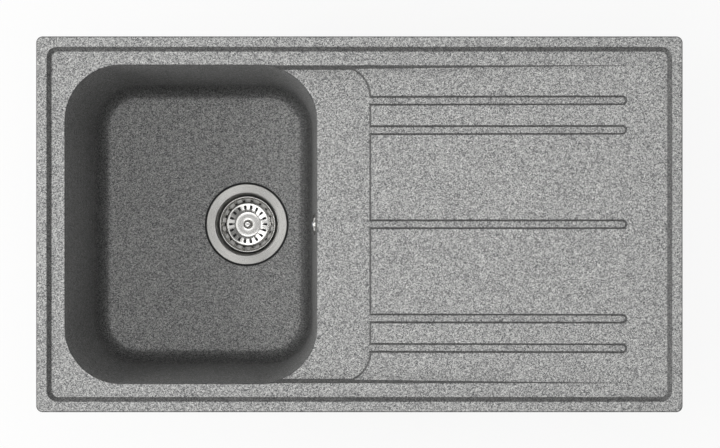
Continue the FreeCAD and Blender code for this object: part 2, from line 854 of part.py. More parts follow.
def make_clamp_screws():
    """Hexagon screws, each with a round collar that carries its claw."""
    collar_height = screw_head_height / 4
    bottom = claw_base_z - fit - screw_head_height
    top = -boss_height + insert_length - play
    screws = []
    head_reach = screw_head_width / 2 / cosine(as_size(FULL_TURN / HEX_SIDES / 2))
    for name, x, y, _ in clamp_places():
        head = primitive("Prism", f"screw_head_{name}", Polygon=HEX_SIDES, Circumradius=head_reach,
                         Height=screw_head_height - collar_height)
        collar = primitive("Cylinder", f"screw_collar_{name}", Radius=screw_head_width / 2 + collar_overhang,
                           Height=collar_height)
        place(collar, 0, 0, screw_head_height - collar_height)
        shank = primitive("Cylinder", f"screw_shank_{name}", Radius=screw_thread / 2, Height=top - bottom)
        screw = joined(f"screw_{name}", [head, collar, shank])
        screws.append(place(screw, x, y, bottom))
    return group("clamp_screws", screws)


def make_clamp_claw(name, x, y, quarter):
    """A pressed steel claw: an arm round the screw, its end turned up into a toothed edge."""
    body = new_body(f"clamp_claw_{name}")
    half = claw_width / 2
    arm = new_sketch(body, TOP, claw_base_z)
    heel_round = half - fit
    outline(arm, [(-half, -half, heel_round), (claw_reach, -half), (claw_reach, half),
                  (-half, half, heel_round)])
    pad(body, arm, claw_plate)
    tip = new_sketch(body, TOP, claw_base_z)
    outline(tip, [(claw_reach - claw_plate, -half), (claw_reach, -half), (claw_reach, half),
                  (claw_reach - claw_plate, half)])
    pad(body, tip, claw_plate + claw_rise)
    hole = new_sketch(body, TOP, claw_base_z)
    circle(hole, 0, 0, screw_thread / 2 + fit)
    pocket(body, hole, claw_plate * 2, Reversed=True)
    teeth = new_sketch(body, SIDE, claw_reach - claw_plate * 2)
    gap = claw_width / (CLAW_TEETH + 1)
    for step in range(CLAW_TEETH):
        middle = gap * (step + 1) - half
        outline(teeth, [(middle - gap / 3, claw_top_z + claw_tooth / 2), (middle, claw_top_z - claw_tooth),
                        (middle + gap / 3, claw_top_z + claw_tooth / 2)])
    pocket(body, teeth, claw_plate * 3, Reversed=True)
    top = number(claw_base_z + claw_plate)
    inside = number(claw_reach - claw_plate)
    bend = edge_names(body.Tip.Shape, lambda e: at_height(e, top) and abs(e.BoundBox.XMin - inside) < NEAR
                      and abs(e.BoundBox.XMax - inside) < NEAR)
    fillet(body, bend, claw_plate / 2)
    outer = number(claw_reach)
    foot = number(claw_base_z)
    heel = edge_names(body.Tip.Shape, lambda e: at_height(e, foot) and abs(e.BoundBox.XMin - outer) < NEAR)
    fillet(body, heel, claw_plate)
    return place(body, x, y, 0, Vector(0, 0, 1), quarter)


# ---------------------------------------------------------------- strainer dish and basket
# Heights in this section are from the bowl's floor, and every piece is turned about the drain's axis.

def at_drain(piece):
    return place(piece, drain_x, 0, floor_z)


def make_strainer_dish():
    """The pressed flange and dish, with a dimple for the screw's head and a grid of drain holes."""
    body = new_body("strainer_dish")
    sketch = new_sketch(body, FRONT)
    s = sheet_metal
    rim = flange_bore / 2
    mouth, foot, dimple = dish_mouth / 2, dish_foot / 2, dimple_bore / 2
    under = -(flange_fall + s)
    low = -dish_depth
    dip = low - dimple_depth
    hole = centre_thread / 2 + fit
    outline(sketch, [
        (rim, under), (rim, -flange_fall, s / 2), (mouth, -flange_fall / 4, mouth_round),
        (foot, low, foot_round), (dimple, low, s), (dimple, dip, s), (hole, dip), (hole, dip - s),
        (dimple + s, dip - s, s * 2), (dimple + s, low - s, s / 2), (foot + s, low - s, foot_round + s),
        (mouth + s, under, mouth_round - s)])
    revolve(body, sketch)
    for ring, count in ((grid_inner, GRID_HOLES_INNER), (grid_outer, GRID_HOLES_OUTER)):
        hole_sketch = new_sketch(body, TOP, low)
        circle(hole_sketch, ring, 0, grid_hole / 2)
        around(body, pocket(body, hole_sketch, s * 2), count)
    return at_drain(body)


def make_flange_gasket():
    under = -(flange_fall + sheet_metal)
    inner = dish_mouth / 2 + mouth_round + sheet_metal
    outer = flange_recess_bore / 2 - play
    return at_drain(turned("flange_gasket", [(inner, -flange_recess_depth), (outer, -flange_recess_depth),
                                             (outer, under), (inner, under)]))


basket_rim_r = basket_bore / 2
basket_floor = -(basket_top + basket_height)
basket_under = basket_floor - basket_sheet
cone_top = basket_floor + basket_cone
cone_under = basket_under + basket_cone
middle_top = cone_top + basket_middle_rise
seal_under = basket_under - fit - seal_disc_thick
washer_under = seal_under - washer_thick
peg_top = washer_under
peg_collar_under = -dish_depth + fit


def make_basket_cup():
    """The perforated cup: a rolled rim, a leaning wall, a coned floor and a raised middle."""
    body = new_body("basket_cup")
    sketch = new_sketch(body, FRONT)
    s = basket_sheet
    top = -basket_top
    middle = basket_middle / 2
    foot = basket_foot / 2
    wall = basket_rim_r - rim_roll
    roll = rim_roll / 2 - fit
    outline(sketch, [
        (stud_bore / 2 + fit, middle_top), (middle, middle_top, s), (middle, cone_top, s / 2),
        (foot, basket_floor, basket_foot_round), (wall, top - rim_roll, s), (wall, top, roll / 2),
        (basket_rim_r, top, roll), (basket_rim_r, top - rim_roll, roll),
        (wall + s, top - rim_roll, s / 4), (foot + s, basket_under, basket_foot_round + s),
        (middle - s, cone_under, s / 2), (middle - s, middle_top - s, s / 2),
        (stud_bore / 2 + fit, middle_top - s)])
    revolve(body, sketch)
    floor_slots = new_sketch(body, TOP, middle_top)
    slot(floor_slots, floor_slot_inner, floor_slot_outer, floor_slot_width / 2)
    around(body, pocket(body, floor_slots, basket_sheet * 6), FLOOR_SLOTS)
    half_step = FULL_TURN / WALL_SLOTS / 2
    wall_slots = new_sketch(body, TOP, -basket_top)
    slot(wall_slots, wall_slot_inner, wall_slot_outer, wall_slot_width / 2, half_step)
    around(body, pocket(body, wall_slots, basket_height * 2), WALL_SLOTS)
    return at_drain(body)


def make_basket_knob():
    """The turned knob, with the stud that goes down through the basket into the peg."""
    radius, waist, stud = knob_bore / 2, knob_waist / 2, stud_bore / 2
    top = middle_top + knob_height
    foot = middle_top
    head = knob_height / 2
    stud_end = peg_collar_under - peg_length / 2
    small = radius / 6
    body = turned("basket_knob", [
        (0, top), (radius, top, radius / 2), (radius, top - head, radius / 4), (waist, top - head, small),
        (waist, foot + knob_height / 6, small), (waist + knob_foot_flare, foot), (stud, foot),
        (stud, stud_end), (0, stud_end)])
    return at_drain(body)


def make_basket_seal():
    """The rubber disc below the basket; its lip lies on the dish's floor when the basket is down."""
    disc, lip = seal_disc_bore / 2, seal_lip_bore / 2
    top = cone_under - fit
    shoulder = basket_middle / 2 - basket_sheet
    cone_slope = basket_cone * 2 / (basket_foot - basket_middle)
    edge_top = basket_under - fit + cone_slope * (basket_foot - seal_disc_bore) / 2
    hole = stud_bore / 2 + fit
    lip_foot = -dish_depth + fit
    body = turned("basket_seal", [
        (hole, top), (shoulder, top), (disc, edge_top, edge_break), (lip, lip_foot + edge_break),
        (lip, lip_foot), (lip - seal_lip_foot, lip_foot), (disc - seal_lip_foot, seal_under, edge_break),
        (hole, seal_under)])
    return at_drain(body)


def make_basket_washer():
    hole = stud_bore / 2 + fit
    return at_drain(turned("basket_washer", [(hole, washer_under), (washer_bore / 2, washer_under),
                                             (washer_bore / 2, seal_under), (hole, seal_under)]))


def make_basket_peg():
    """The plastic peg that grips the stud; its slit end springs into the hollow screw."""
    collar, pin = peg_collar / 2, peg_bore / 2
    end = peg_collar_under - peg_length
    stud = stud_bore / 2 + fit
    body = new_body("basket_peg")
    sketch = new_sketch(body, FRONT)
    stud_end = peg_collar_under - peg_length / 2 - fit
    outline(sketch, [(stud, peg_top), (collar, peg_top), (collar, peg_collar_under, edge_break / 2),
                     (pin, peg_collar_under), (pin, end, edge_break), (0, end), (0, stud_end),
                     (stud, stud_end)])
    revolve(body, sketch)
    slit = new_sketch(body, TOP, end)
    outline(slit, [(-peg_collar, -peg_slot / 2), (peg_collar, -peg_slot / 2),
                   (peg_collar, peg_slot / 2), (-peg_collar, peg_slot / 2)])
    pocket(body, slit, peg_length / 3, Reversed=True)
    return at_drain(body)


# ---------------------------------------------------------------- waste body

body_top = -shell - gasket_thick
body_floor = body_top - body_depth
inlet_z = body_top - inlet_drop
hub_top = body_floor + hub_height / 3
brass_top = hub_top - hub_height / 5


def make_waste_gasket():
    inner = body_bore / 2
    outer = body_flange / 2
    return at_drain(turned("waste_gasket", [(inner, body_top), (outer, body_top), (outer, -shell),
                                            (inner, -shell)]))


def make_waste_body():
    """The moulded body: flange, cup, outlet spigot, hub on three spokes and the overflow inlet."""
    body = new_body("waste_body")
    sketch = new_sketch(body, FRONT)
    flange, inner, outlet = body_flange / 2, body_bore / 2, outlet_thread / 2
    outer = inner + body_wall
    bore = outlet_bore / 2
    flange_under = body_top - body_flange_thick
    floor_under = body_floor - body_wall
    end = floor_under - outlet_length
    outline(sketch, [
        (inner, body_top), (inner, body_floor, body_wall), (bore, body_floor), (bore, end), (outlet, end),
        (outlet, floor_under), (outer, floor_under, body_wall * 2), (outer, flange_under, edge_break),
        (flange, flange_under), (flange, body_top)])
    revolve(body, sketch)

    hub = new_sketch(body, TOP, hub_top)
    circle(hub, 0, 0, hub_bore / 2)
    pad(body, hub, hub_height, Reversed=True)
    spoke = new_sketch(body, TOP, body_floor)
    root = hub_bore / 2 - edge_break
    outline(spoke, [(root, -spoke_width / 2), (bore + edge_break, -spoke_width / 2),
                    (bore + edge_break, spoke_width / 2), (root, spoke_width / 2)])
    around(body, pad(body, spoke, hub_height / 2, Reversed=True), SPOKES)
    brass_seat = new_sketch(body, TOP, hub_top - hub_height)
    circle(brass_seat, 0, 0, brass_bore / 2)
    pocket(body, brass_seat, hub_height - (hub_top - brass_top), Reversed=True)
    screw_way = new_sketch(body, TOP, hub_top)
    circle(screw_way, 0, 0, centre_thread / 2 + play)
    pocket(body, screw_way, hub_height)

    spigot = new_sketch(body, SIDE, inner + body_wall / 2)
    circle(spigot, 0, inlet_z, spigot_thread / 2)
    pad(body, spigot, body_wall / 2 + spigot_length)
    socket = new_sketch(body, SIDE, outer + spigot_length)
    circle(socket, 0, inlet_z, pipe_bore / 2 + play)
    pocket(body, socket, socket_depth)
    passage = new_sketch(body, SIDE, outer + spigot_length)
    circle(passage, 0, inlet_z, pipe_bore / 2 - pipe_wall)
    pocket(body, passage, spigot_length + body_wall * 2)
    return at_drain(body)


def make_waste_insert():
    """The brass nut that the centre screw pulls up against the hub's shoulder."""
    radius, thread = brass_bore / 2 - fit / 2, centre_thread / 2 + fit
    low = brass_top - brass_length
    high = brass_top - fit
    return at_drain(turned("waste_insert", [(thread, low), (radius, low), (radius, high), (thread, high)]))


def make_centre_screw():
    """The hollow screw: a low head in the dish's dimple, a blind socket for the peg, a driver slot."""
    body = new_body("centre_screw")
    sketch = new_sketch(body, FRONT)
    seat = -(dish_depth + dimple_depth)
    top = seat + centre_head_height
    head, shank, socket = centre_head / 2, centre_thread / 2, centre_socket / 2
    end = seat - sheet_metal - centre_length
    socket_end = top - centre_socket_depth
    outline(sketch, [(socket, top), (head, top, edge_break), (head, seat), (shank, seat),
                     (shank, end, edge_break), (0, end), (0, socket_end), (socket, socket_end)])
    revolve(body, sketch)
    slit = new_sketch(body, TOP, top)
    half = centre_slot / 2
    outline(slit, [(-centre_head, -half), (centre_head, -half), (centre_head, half), (-centre_head, half)])
    pocket(body, slit, centre_head_height / 3)
    return at_drain(body)


# ---------------------------------------------------------------- overflow
# X in this section runs square through the bowl's wall, from its inner face; Z runs up along that wall.

def at_overflow(piece):
    return place(piece, wall_x, 0, overflow_z, Vector(0, 1, 0), bowl_draft)


gasket_end = wall_through + gasket_thick
housing_face = gasket_end + overflow_flange_thick
chamber_end = housing_face + chamber_length
spigot_x = housing_face + chamber_length / 2
chamber_radius = chamber_bore / 2 + chamber_wall
spigot_end = -(chamber_radius + spigot_length)


def make_overflow_cover():
    """The pressed round cover, slotted round its middle."""
    body = new_body("overflow_cover")
    sketch = new_sketch(body, FRONT)
    face = -cover_stand
    rim = cover_bore / 2
    hole = cover_screw / 2 + fit
    inside = rim - cover_sheet
    bend = cover_stand / 2
    outline(sketch, [(face, hole), (face, rim, bend), (-fit, rim), (-fit, inside),
                     (face + cover_sheet, inside, bend - cover_sheet), (face + cover_sheet, hole)])
    revolve(body, sketch, "H_Axis")
    slots = new_sketch(body, SIDE, face)
    slot(slots, cover_slot_inner, rim - cover_stand, cover_slot_width / 2)
    around(body, pocket(body, slots, cover_stand, Reversed=True), int(cover_slot_count.value), "X_Axis")
    return at_overflow(body)


def make_overflow_screw():
    """The screw through the cover into the housing's post."""
    head = cover_screw_head / 2
    shank = cover_screw / 2
    face = -cover_stand - cover_screw_head_height
    seat = -cover_stand - fit
    end = chamber_end - chamber_wall * 2
    body = new_body("overflow_screw")
    sketch = new_sketch(body, FRONT)
    outline(sketch, [(face, 0), (face, head, edge_break / 2), (seat, head), (seat, shank), (end, shank),
                     (end, 0)])
    revolve(body, sketch, "H_Axis")
    slit = new_sketch(body, SIDE, face)
    half = driver_slot / 2
    outline(slit, [(-head, -half), (head, -half), (head, half), (-head, half)])
    pocket(body, slit, cover_screw_head_height / 2, Reversed=True)
    return at_overflow(body)


def make_overflow_gasket():
    inner, outer = overflow_bore / 2, overflow_flange / 2 - gasket_edge
    return at_overflow(turned_along("overflow_gasket", [
        (wall_through + fit, inner), (gasket_end, inner), (gasket_end, outer), (wall_through + fit, outer)]))


def make_overflow_housing():
    """The chamber behind the wall: flange, screw post and a spigot that points down."""
    body = new_body("overflow_housing")
    sketch = new_sketch(body, FRONT)
    inner = chamber_bore / 2
    inside_end = chamber_end - chamber_wall
    flange = overflow_flange / 2
    outline(sketch, [(gasket_end, inner), (gasket_end, flange), (housing_face, flange),
                     (housing_face, chamber_radius, edge_break), (chamber_end, chamber_radius, chamber_wall),
                     (chamber_end, 0), (inside_end, 0), (inside_end, inner)])
    revolve(body, sketch, "H_Axis")
    spigot = new_sketch(body, TOP, -inner - chamber_wall / 2)
    circle(spigot, spigot_x, 0, spigot_thread / 2)
    pad(body, spigot, spigot_length + chamber_wall / 2, Reversed=True)
    root = new_sketch(body, TOP)
    circle(root, spigot_x, 0, pipe_bore / 2)
    pad(body, root, chamber_radius, Reversed=True)
    air = new_sketch(body, SIDE, gasket_end)
    circle(air, 0, 0, inner)
    pocket(body, air, inside_end - gasket_end, Reversed=True)
    socket = new_sketch(body, TOP, spigot_end)
    circle(socket, spigot_x, 0, pipe_bore / 2 + play)
    pocket(body, socket, socket_depth, Reversed=True)
    passage = new_sketch(body, TOP, spigot_end)
    circle(passage, spigot_x, 0, pipe_bore / 2 - pipe_wall)
    pocket(body, passage, -spigot_end, Reversed=True)
    post = new_sketch(body, SIDE, inside_end)
    circle(post, 0, 0, post_bore / 2)
    pad(body, post, chamber_length - chamber_wall, Reversed=True)
    thread = new_sketch(body, SIDE, housing_face)
    circle(thread, 0, 0, cover_screw / 2 + fit)
    pocket(body, thread, chamber_length - chamber_wall, Reversed=True)
    return at_overflow(body)


def overflow_point(x, z):
    """A point of the overflow's own frame, in the sink's frame."""
    return (wall_x + x * cosine(bowl_draft) + z * sine(bowl_draft),
            overflow_z - x * sine(bowl_draft) + z * cosine(bowl_draft))


inlet_end_x = drain_x + body_bore / 2 + body_wall + spigot_length
inlet_height = floor_z + inlet_z


def make_overflow_pipe():
    """The rigid bent pipe: down along the bowl's wall, then level into the waste body."""
    body = new_body("overflow_pipe")
    pipe_start = spigot_end + socket_depth - fit
    top = overflow_point(spigot_x, pipe_start)
    drop = (top[1] - inlet_height) / cosine(bowl_draft)
    corner = (top[0] - drop * sine(bowl_draft), inlet_height)
    path = new_sketch(body, FRONT)
    end_x = inlet_end_x - socket_depth + fit
    outline(path, [top, (corner[0], corner[1], pipe_bend), (end_x, inlet_height)], closed=False)
    section = new_sketch(body, SIDE, end_x)
    circle(section, 0, inlet_height, pipe_bore / 2)
    circle(section, 0, inlet_height, pipe_bore / 2 - pipe_wall)
    feature(body, "AdditivePipe", section, Spine=path)
    return body


def joint_pieces(name):
    """A coupling nut and its tapered seal on one spigot, drawn along X from the spigot's end."""
    bore = pipe_bore / 2 + play
    thread = spigot_thread / 2 + play
    outer = nut_bore / 2
    inside = cone_thick + fit * 2
    seal = turned_along(f"overflow_seal_{name}", [
        (fit, bore), (fit + cone_thick, bore), (fit + cone_thick, thread - play * 2), (fit, thread - play)])
    nut = turned_along(f"overflow_nut_{name}", [
        (-nut_grip, thread), (inside, thread), (inside, bore), (inside + nut_wall, bore),
        (inside + nut_wall, outer - nut_rib, edge_break), (-nut_grip, outer - nut_rib)])
    rib = new_sketch(nut, SIDE, -nut_grip)
    circle(rib, 0, outer - nut_rib, nut_rib)
    around(nut, pad(nut, rib, nut_grip + inside), NUT_RIBS, "X_Axis")
    return nut, seal


def make_overflow_joints():
    upper = joint_pieces("upper")
    x, z = overflow_point(spigot_x, spigot_end)
    for piece in upper:
        place(piece, x, 0, z, Vector(0, 1, 0), bowl_draft + 90)
    lower = joint_pieces("lower")
    for piece in lower:
        place(piece, inlet_end_x, 0, inlet_height)
    return [*upper, *lower]


# ---------------------------------------------------------------- build, check and write

pieces = [make_sink_body(), make_rim_seal(), make_clamp_inserts(), make_clamp_screws()]
pieces += [make_clamp_claw(*clamp) for clamp in clamp_places()]
pieces += [make_strainer_dish(), make_flange_gasket(), make_basket_cup(), make_basket_knob(),
           make_basket_seal(), make_basket_washer(), make_basket_peg()]
pieces += [make_waste_gasket(), make_waste_body(), make_waste_insert(), make_centre_screw()]
pieces += [make_overflow_cover(), make_overflow_screw(), make_overflow_gasket(), make_overflow_housing(),
           make_overflow_pipe(), *make_overflow_joints()]
doc.recompute()

failed = [item.Name for item in doc.Objects if "Invalid" in item.State or "Error" in item.State]
for piece in pieces:
    if piece.Shape.isNull() or not piece.Shape.isValid():
        failed.append(piece.Label)
if failed:
    raise RuntimeError(f"these did not build: {failed}")

os.makedirs("parts", exist_ok=True)
for piece in pieces:
    piece.Shape.exportStep(f"parts/{piece.Label}.step")
    print(f"{piece.Label}: {len(piece.Shape.Solids)} solid(s), {piece.Shape.Volume:.0f} cubic mm")
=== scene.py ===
"""Inset kitchen sink of grey stone composite with one bowl and a drainboard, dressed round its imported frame.

Sizes in the classes are millimetres. The origin is the centre of the rim, level with the worktop; +X runs from
the bowl to the drainboard, +Y to the back, +Z up.
"""

import json
import logging
import math
from collections.abc import Iterable, Mapping, Sequence
from dataclasses import dataclass, field
from enum import Enum
from typing import Any

import bmesh
import bpy
from mathutils import Matrix, Vector


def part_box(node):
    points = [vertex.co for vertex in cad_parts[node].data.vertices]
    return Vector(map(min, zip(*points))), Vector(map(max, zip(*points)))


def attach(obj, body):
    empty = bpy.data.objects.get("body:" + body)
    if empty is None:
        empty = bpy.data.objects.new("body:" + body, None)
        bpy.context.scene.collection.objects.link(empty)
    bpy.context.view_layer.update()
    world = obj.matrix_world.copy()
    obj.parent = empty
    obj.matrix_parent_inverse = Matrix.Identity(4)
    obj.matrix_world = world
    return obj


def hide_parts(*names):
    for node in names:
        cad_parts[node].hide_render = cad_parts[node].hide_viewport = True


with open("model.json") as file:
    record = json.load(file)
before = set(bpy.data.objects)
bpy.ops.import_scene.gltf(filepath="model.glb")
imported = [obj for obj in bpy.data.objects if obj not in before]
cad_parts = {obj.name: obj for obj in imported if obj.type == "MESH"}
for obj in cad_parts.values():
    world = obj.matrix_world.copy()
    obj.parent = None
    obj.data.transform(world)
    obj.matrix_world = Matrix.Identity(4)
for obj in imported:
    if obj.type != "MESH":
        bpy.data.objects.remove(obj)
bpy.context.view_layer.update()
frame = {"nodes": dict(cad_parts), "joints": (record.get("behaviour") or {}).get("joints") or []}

MM = 0.001
FULL_TURN = 2 * math.pi
MERGE = 1e-6              # metres between points that are one point
ROUND_STEPS = 6           # segments of each rounded corner in a turned profile
ROUND_SHARE = 0.49        # the most of a side that a corner's round may take
SHARP_DEGREES = 40.0      # faces that meet at more than this stay sharp to the eye
BOWL_FLOOR = -0.182       # metres; the height of the bowl's floor at the drain

log = logging.getLogger("sink")


class Slot(Enum):
    """The record's material slots."""

    STONE = "stone_composite"
    BRUSHED = "brushed_stainless"
    POLISHED = "polished_stainless"
    ZINC = "zinc_steel"
    BRASS = "brass"
    RUBBER = "black_rubber"
    FOAM = "foam_strip"
    PLASTIC = "white_plastic"


class Body(Enum):
    """The bodies of the frame that new pieces ride on."""

    SINK = "sink"
    BASKET = "basket"


# ---------------------------------------------------------------- material nodes

def linear(hex_colour: str) -> tuple[float, float, float, float]:
    """Turns an sRGB hex colour into Blender's linear RGBA, with the sRGB standard's own numbers.

    Args:
        hex_colour: six hex digits after a hash sign.

    Returns:
        Linear red, green, blue and an alpha of 1.
    """
    channels = [int(hex_colour[i:i + 2], 16) / 255 for i in (1, 3, 5)]
    turned = [c / 12.92 if c <= 0.04045 else ((c + 0.055) / 1.055) ** 2.4 for c in channels]
    return turned[0], turned[1], turned[2], 1.0


def per_metre(size_mm: float) -> float:
    """The scale at which a texture's cells are that large."""
    return 1 / (size_mm * MM)


def add_node(tree: bpy.types.NodeTree, kind: str, inputs: Mapping[str | int, Any] | None = None,
             **settings: Any) -> bpy.types.Node:
    """Adds one node with its settings and its inputs.

    Args:
        tree: the node tree that takes the node.
        kind: the node's type name.
        inputs: for each input its value, or the output socket that feeds it.
        settings: the node's own properties; stops are a colour ramp's (place, hex colour) pairs.

    Returns:
        The new node.
    """
    node = tree.nodes.new(kind)
    for place, hex_colour in settings.pop("stops", ()):
        ends = node.color_ramp.elements
        stop = ends[0] if place == 0 else ends[len(ends) - 1] if place == 1 else ends.new(place)
        stop.color = linear(hex_colour)
    for name, value in settings.items():
        setattr(node, name, value)
    for name, value in (inputs or {}).items():
        socket = node.inputs[name]
        if isinstance(value, bpy.types.NodeSocket):
            tree.links.new(value, socket)
        else:
            socket.default_value = value
    return node


# ---------------------------------------------------------------- finishes

@dataclass(frozen=True)
class Finish:
    """What every finish has: its slot, the material's name, its colour and its gloss."""

    slot: Slot
    name: str
    colour: str
    roughness: float
    metallic: float = 0.0
    ior: float = 1.5
    noise_span: tuple[float, float] = (0.3, 0.7)     # the part of a noise's values that a change is spread over

    def build(self) -> bpy.types.Material:
        """Makes the material with its texture.

        Returns:
            The material, ready to be put on a piece.
        """
        material = bpy.data.materials.new(self.name)
        material.use_nodes = True
        tree = material.node_tree
        shader = tree.nodes["Principled BSDF"]
        shader.inputs["Base Color"].default_value = linear(self.colour)
        shader.inputs["Roughness"].default_value = self.roughness
        shader.inputs["Metallic"].default_value = self.metallic
        shader.inputs["IOR"].default_value = self.ior
        self.texture(tree, shader)
        return material

    def texture(self, tree: bpy.types.NodeTree, shader: bpy.types.Node) -> None:
        """Adds the nodes of this finish's own texture; a finish overrides this."""

    @staticmethod
    def place(tree: bpy.types.NodeTree) -> bpy.types.NodeSocket:
        """The point on the piece, in the piece's own metres."""
        return add_node(tree, "ShaderNodeTexCoord").outputs["Object"]


@dataclass(frozen=True)
class StoneComposite(Finish):
    """Quartz grit cast in tinted acrylic resin: matt, with light and dark grains on its sanded flat faces.

    Its sloping and upright faces are darkened with painted shade, most where they lean some 30 to 55 degrees from
    level; the grains show there too.
    """

    grit_mm: float = 1.2       # the real grit is 0.3 to 1 mm; drawn this coarse so that a grain shows
    fine_mm: float = 0.7
    fine_share: float = 0.35   # how much of a point's tone comes from the finer grains
    mottle_mm: float = 60.0
    mottle: float = 0.03       # how much lighter and darker the cloudiness makes the stone
    relief_mm: float = 0.03
    # from the darkest grain to the lightest
    grains: tuple[tuple[float, str], ...] = (
        (0, "#1D1D1E"), (0.2, "#5D5E5F"), (0.5, "#9B9B9A"), (0.8, "#C9C9C7"), (1, "#F0F0ED"))
    # how far a face looks up, and the painted shade that darkens it against a level face
    painted_slope_shade: tuple[tuple[float, str], ...] = (
        (0, "#B5B5B5"), (0.3, "#979797"), (0.6, "#818181"), (0.85, "#868686"), (0.94, "#A6A6A6"),
        (0.985, "#F1F1F1"), (1, "#FFFFFF"))

    def texture(self, tree: bpy.types.NodeTree, shader: bpy.types.Node) -> None:
        """Grains of two sizes, a faint cloudiness, painted shade on the sloping faces and the grit's slight
        relief.
        """
        place = self.place(tree)
        normal = add_node(tree, "ShaderNodeTexCoord").outputs["Normal"]
        up = add_node(tree, "ShaderNodeSeparateXYZ", {"Vector": normal}).outputs["Z"]
        # painted shade: a face darkens as it tilts from level, so slopes and walls look shaded under any light
        painted_slope_shade = add_node(tree, "ShaderNodeValToRGB", {"Fac": up}, stops=self.painted_slope_shade)
        layers = []
        for size_mm in (self.grit_mm, self.fine_mm):
            cells = add_node(tree, "ShaderNodeTexVoronoi", {"Vector": place, "Scale": per_metre(size_mm)})
            parted = add_node(tree, "ShaderNodeSeparateColor", {"Color": cells.outputs["Color"]})
            layers.append(parted.outputs["Red"])
        blend = add_node(tree, "ShaderNodeMix", {"Factor": self.fine_share, "A": layers[0], "B": layers[1]})
        tone = add_node(tree, "ShaderNodeValToRGB", {"Fac": blend.outputs["Result"]}, stops=self.grains)
        cloud = add_node(tree, "ShaderNodeTexNoise", {
            "Vector": place, "Scale": per_metre(self.mottle_mm), "Detail": 3.0})
        shade = add_node(tree, "ShaderNodeMapRange", {
            "Value": cloud.outputs["Fac"], "From Min": self.noise_span[0], "From Max": self.noise_span[1],
            "To Min": 1 - self.mottle, "To Max": 1 + self.mottle})
        clouded = add_node(tree, "ShaderNodeVectorMath", {
            0: tone.outputs["Color"], "Scale": shade.outputs["Result"]}, operation="SCALE")
        # the grains' tone times the painted shade of the face's tilt
        tinted = add_node(tree, "ShaderNodeVectorMath", {0: clouded.outputs["Vector"], 1: painted_slope_shade.outputs["Color"]},
                          operation="MULTIPLY")
        relief = add_node(tree, "ShaderNodeBump", {
            "Height": blend.outputs["Result"], "Distance": self.relief_mm * MM, "Strength": 0.5})
        tree.links.new(tinted.outputs["Vector"], shader.inputs["Base Color"])
        tree.links.new(relief.outputs["Normal"], shader.inputs["Normal"])


@dataclass(frozen=True)
class TurnedSteel(Finish):
    """Austenitic stainless steel polished on a lathe: fine rings round the drain's axis fan the light out."""

    centre: tuple[float, float, float] = (0.0, 0.0, 0.0)
    ring_mm: float = 0.4       # real rings are under 0.1 mm; drawn this coarse so that they show close up
    ring_run: float = 2.0      # how often a ring's tone changes in a radian
    anisotropy: float = 0.0
    gloss_change: float = 0.25
    wear: float = 0.05
    noise_span: tuple[float, float] = (0.25, 0.75)

    def texture(self, tree: bpy.types.NodeTree, shader: bpy.types.Node) -> None:
        """Rings in the gloss and colour, and a grain direction that runs round the axis."""
        offset = add_node(tree, "ShaderNodeVectorMath", {0: self.place(tree), 1: self.centre},
                          operation="SUBTRACT").outputs["Vector"]
        flat = add_node(tree, "ShaderNodeVectorMath", {0: offset, 1: (1.0, 1.0, 0.0)},
                        operation="MULTIPLY").outputs["Vector"]
        reach = add_node(tree, "ShaderNodeVectorMath", {0: flat}, operation="LENGTH").outputs["Value"]
        parts = add_node(tree, "ShaderNodeSeparateXYZ", {"Vector": offset})
        turn = add_node(tree, "ShaderNodeMath", {0: parts.outputs["Y"], 1: parts.outputs["X"]},
                        operation="ARCTAN2").outputs["Value"]
        sweep = add_node(tree, "ShaderNodeMath", {0: turn, 1: self.ring_mm * MM * self.ring_run},
                         operation="MULTIPLY")
        rings = add_node(tree, "ShaderNodeCombineXYZ", {
            "X": reach, "Y": sweep.outputs["Value"], "Z": parts.outputs["Z"]})
        scratch = add_node(tree, "ShaderNodeTexNoise", {
            "Vector": rings.outputs["Vector"], "Scale": per_metre(self.ring_mm), "Detail": 2.0})
        gloss = add_node(tree, "ShaderNodeMapRange", {
            "Value": scratch.outputs["Fac"], "From Min": self.noise_span[0], "From Max": self.noise_span[1],
            "To Min": self.roughness * (1 - self.gloss_change),
            "To Max": self.roughness * (1 + self.gloss_change)})
        bright = add_node(tree, "ShaderNodeMapRange", {
            "Value": scratch.outputs["Fac"], "From Min": self.noise_span[0], "From Max": self.noise_span[1],
            "To Min": 1 - self.wear, "To Max": 1 + self.wear})
        tinted = add_node(tree, "ShaderNodeVectorMath", {
            0: linear(self.colour)[:3], "Scale": bright.outputs["Result"]}, operation="SCALE")
        round_axis = add_node(tree, "ShaderNodeVectorMath", {0: (0.0, 0.0, 1.0), 1: flat},
                              operation="CROSS_PRODUCT")
        grain = add_node(tree, "ShaderNodeVectorMath", {0: round_axis.outputs["Vector"]}, operation="NORMALIZE")
        tree.links.new(gloss.outputs["Result"], shader.inputs["Roughness"])
        tree.links.new(tinted.outputs["Vector"], shader.inputs["Base Color"])
        tree.links.new(grain.outputs["Vector"], shader.inputs["Tangent"])
        shader.inputs["Anisotropic"].default_value = self.anisotropy


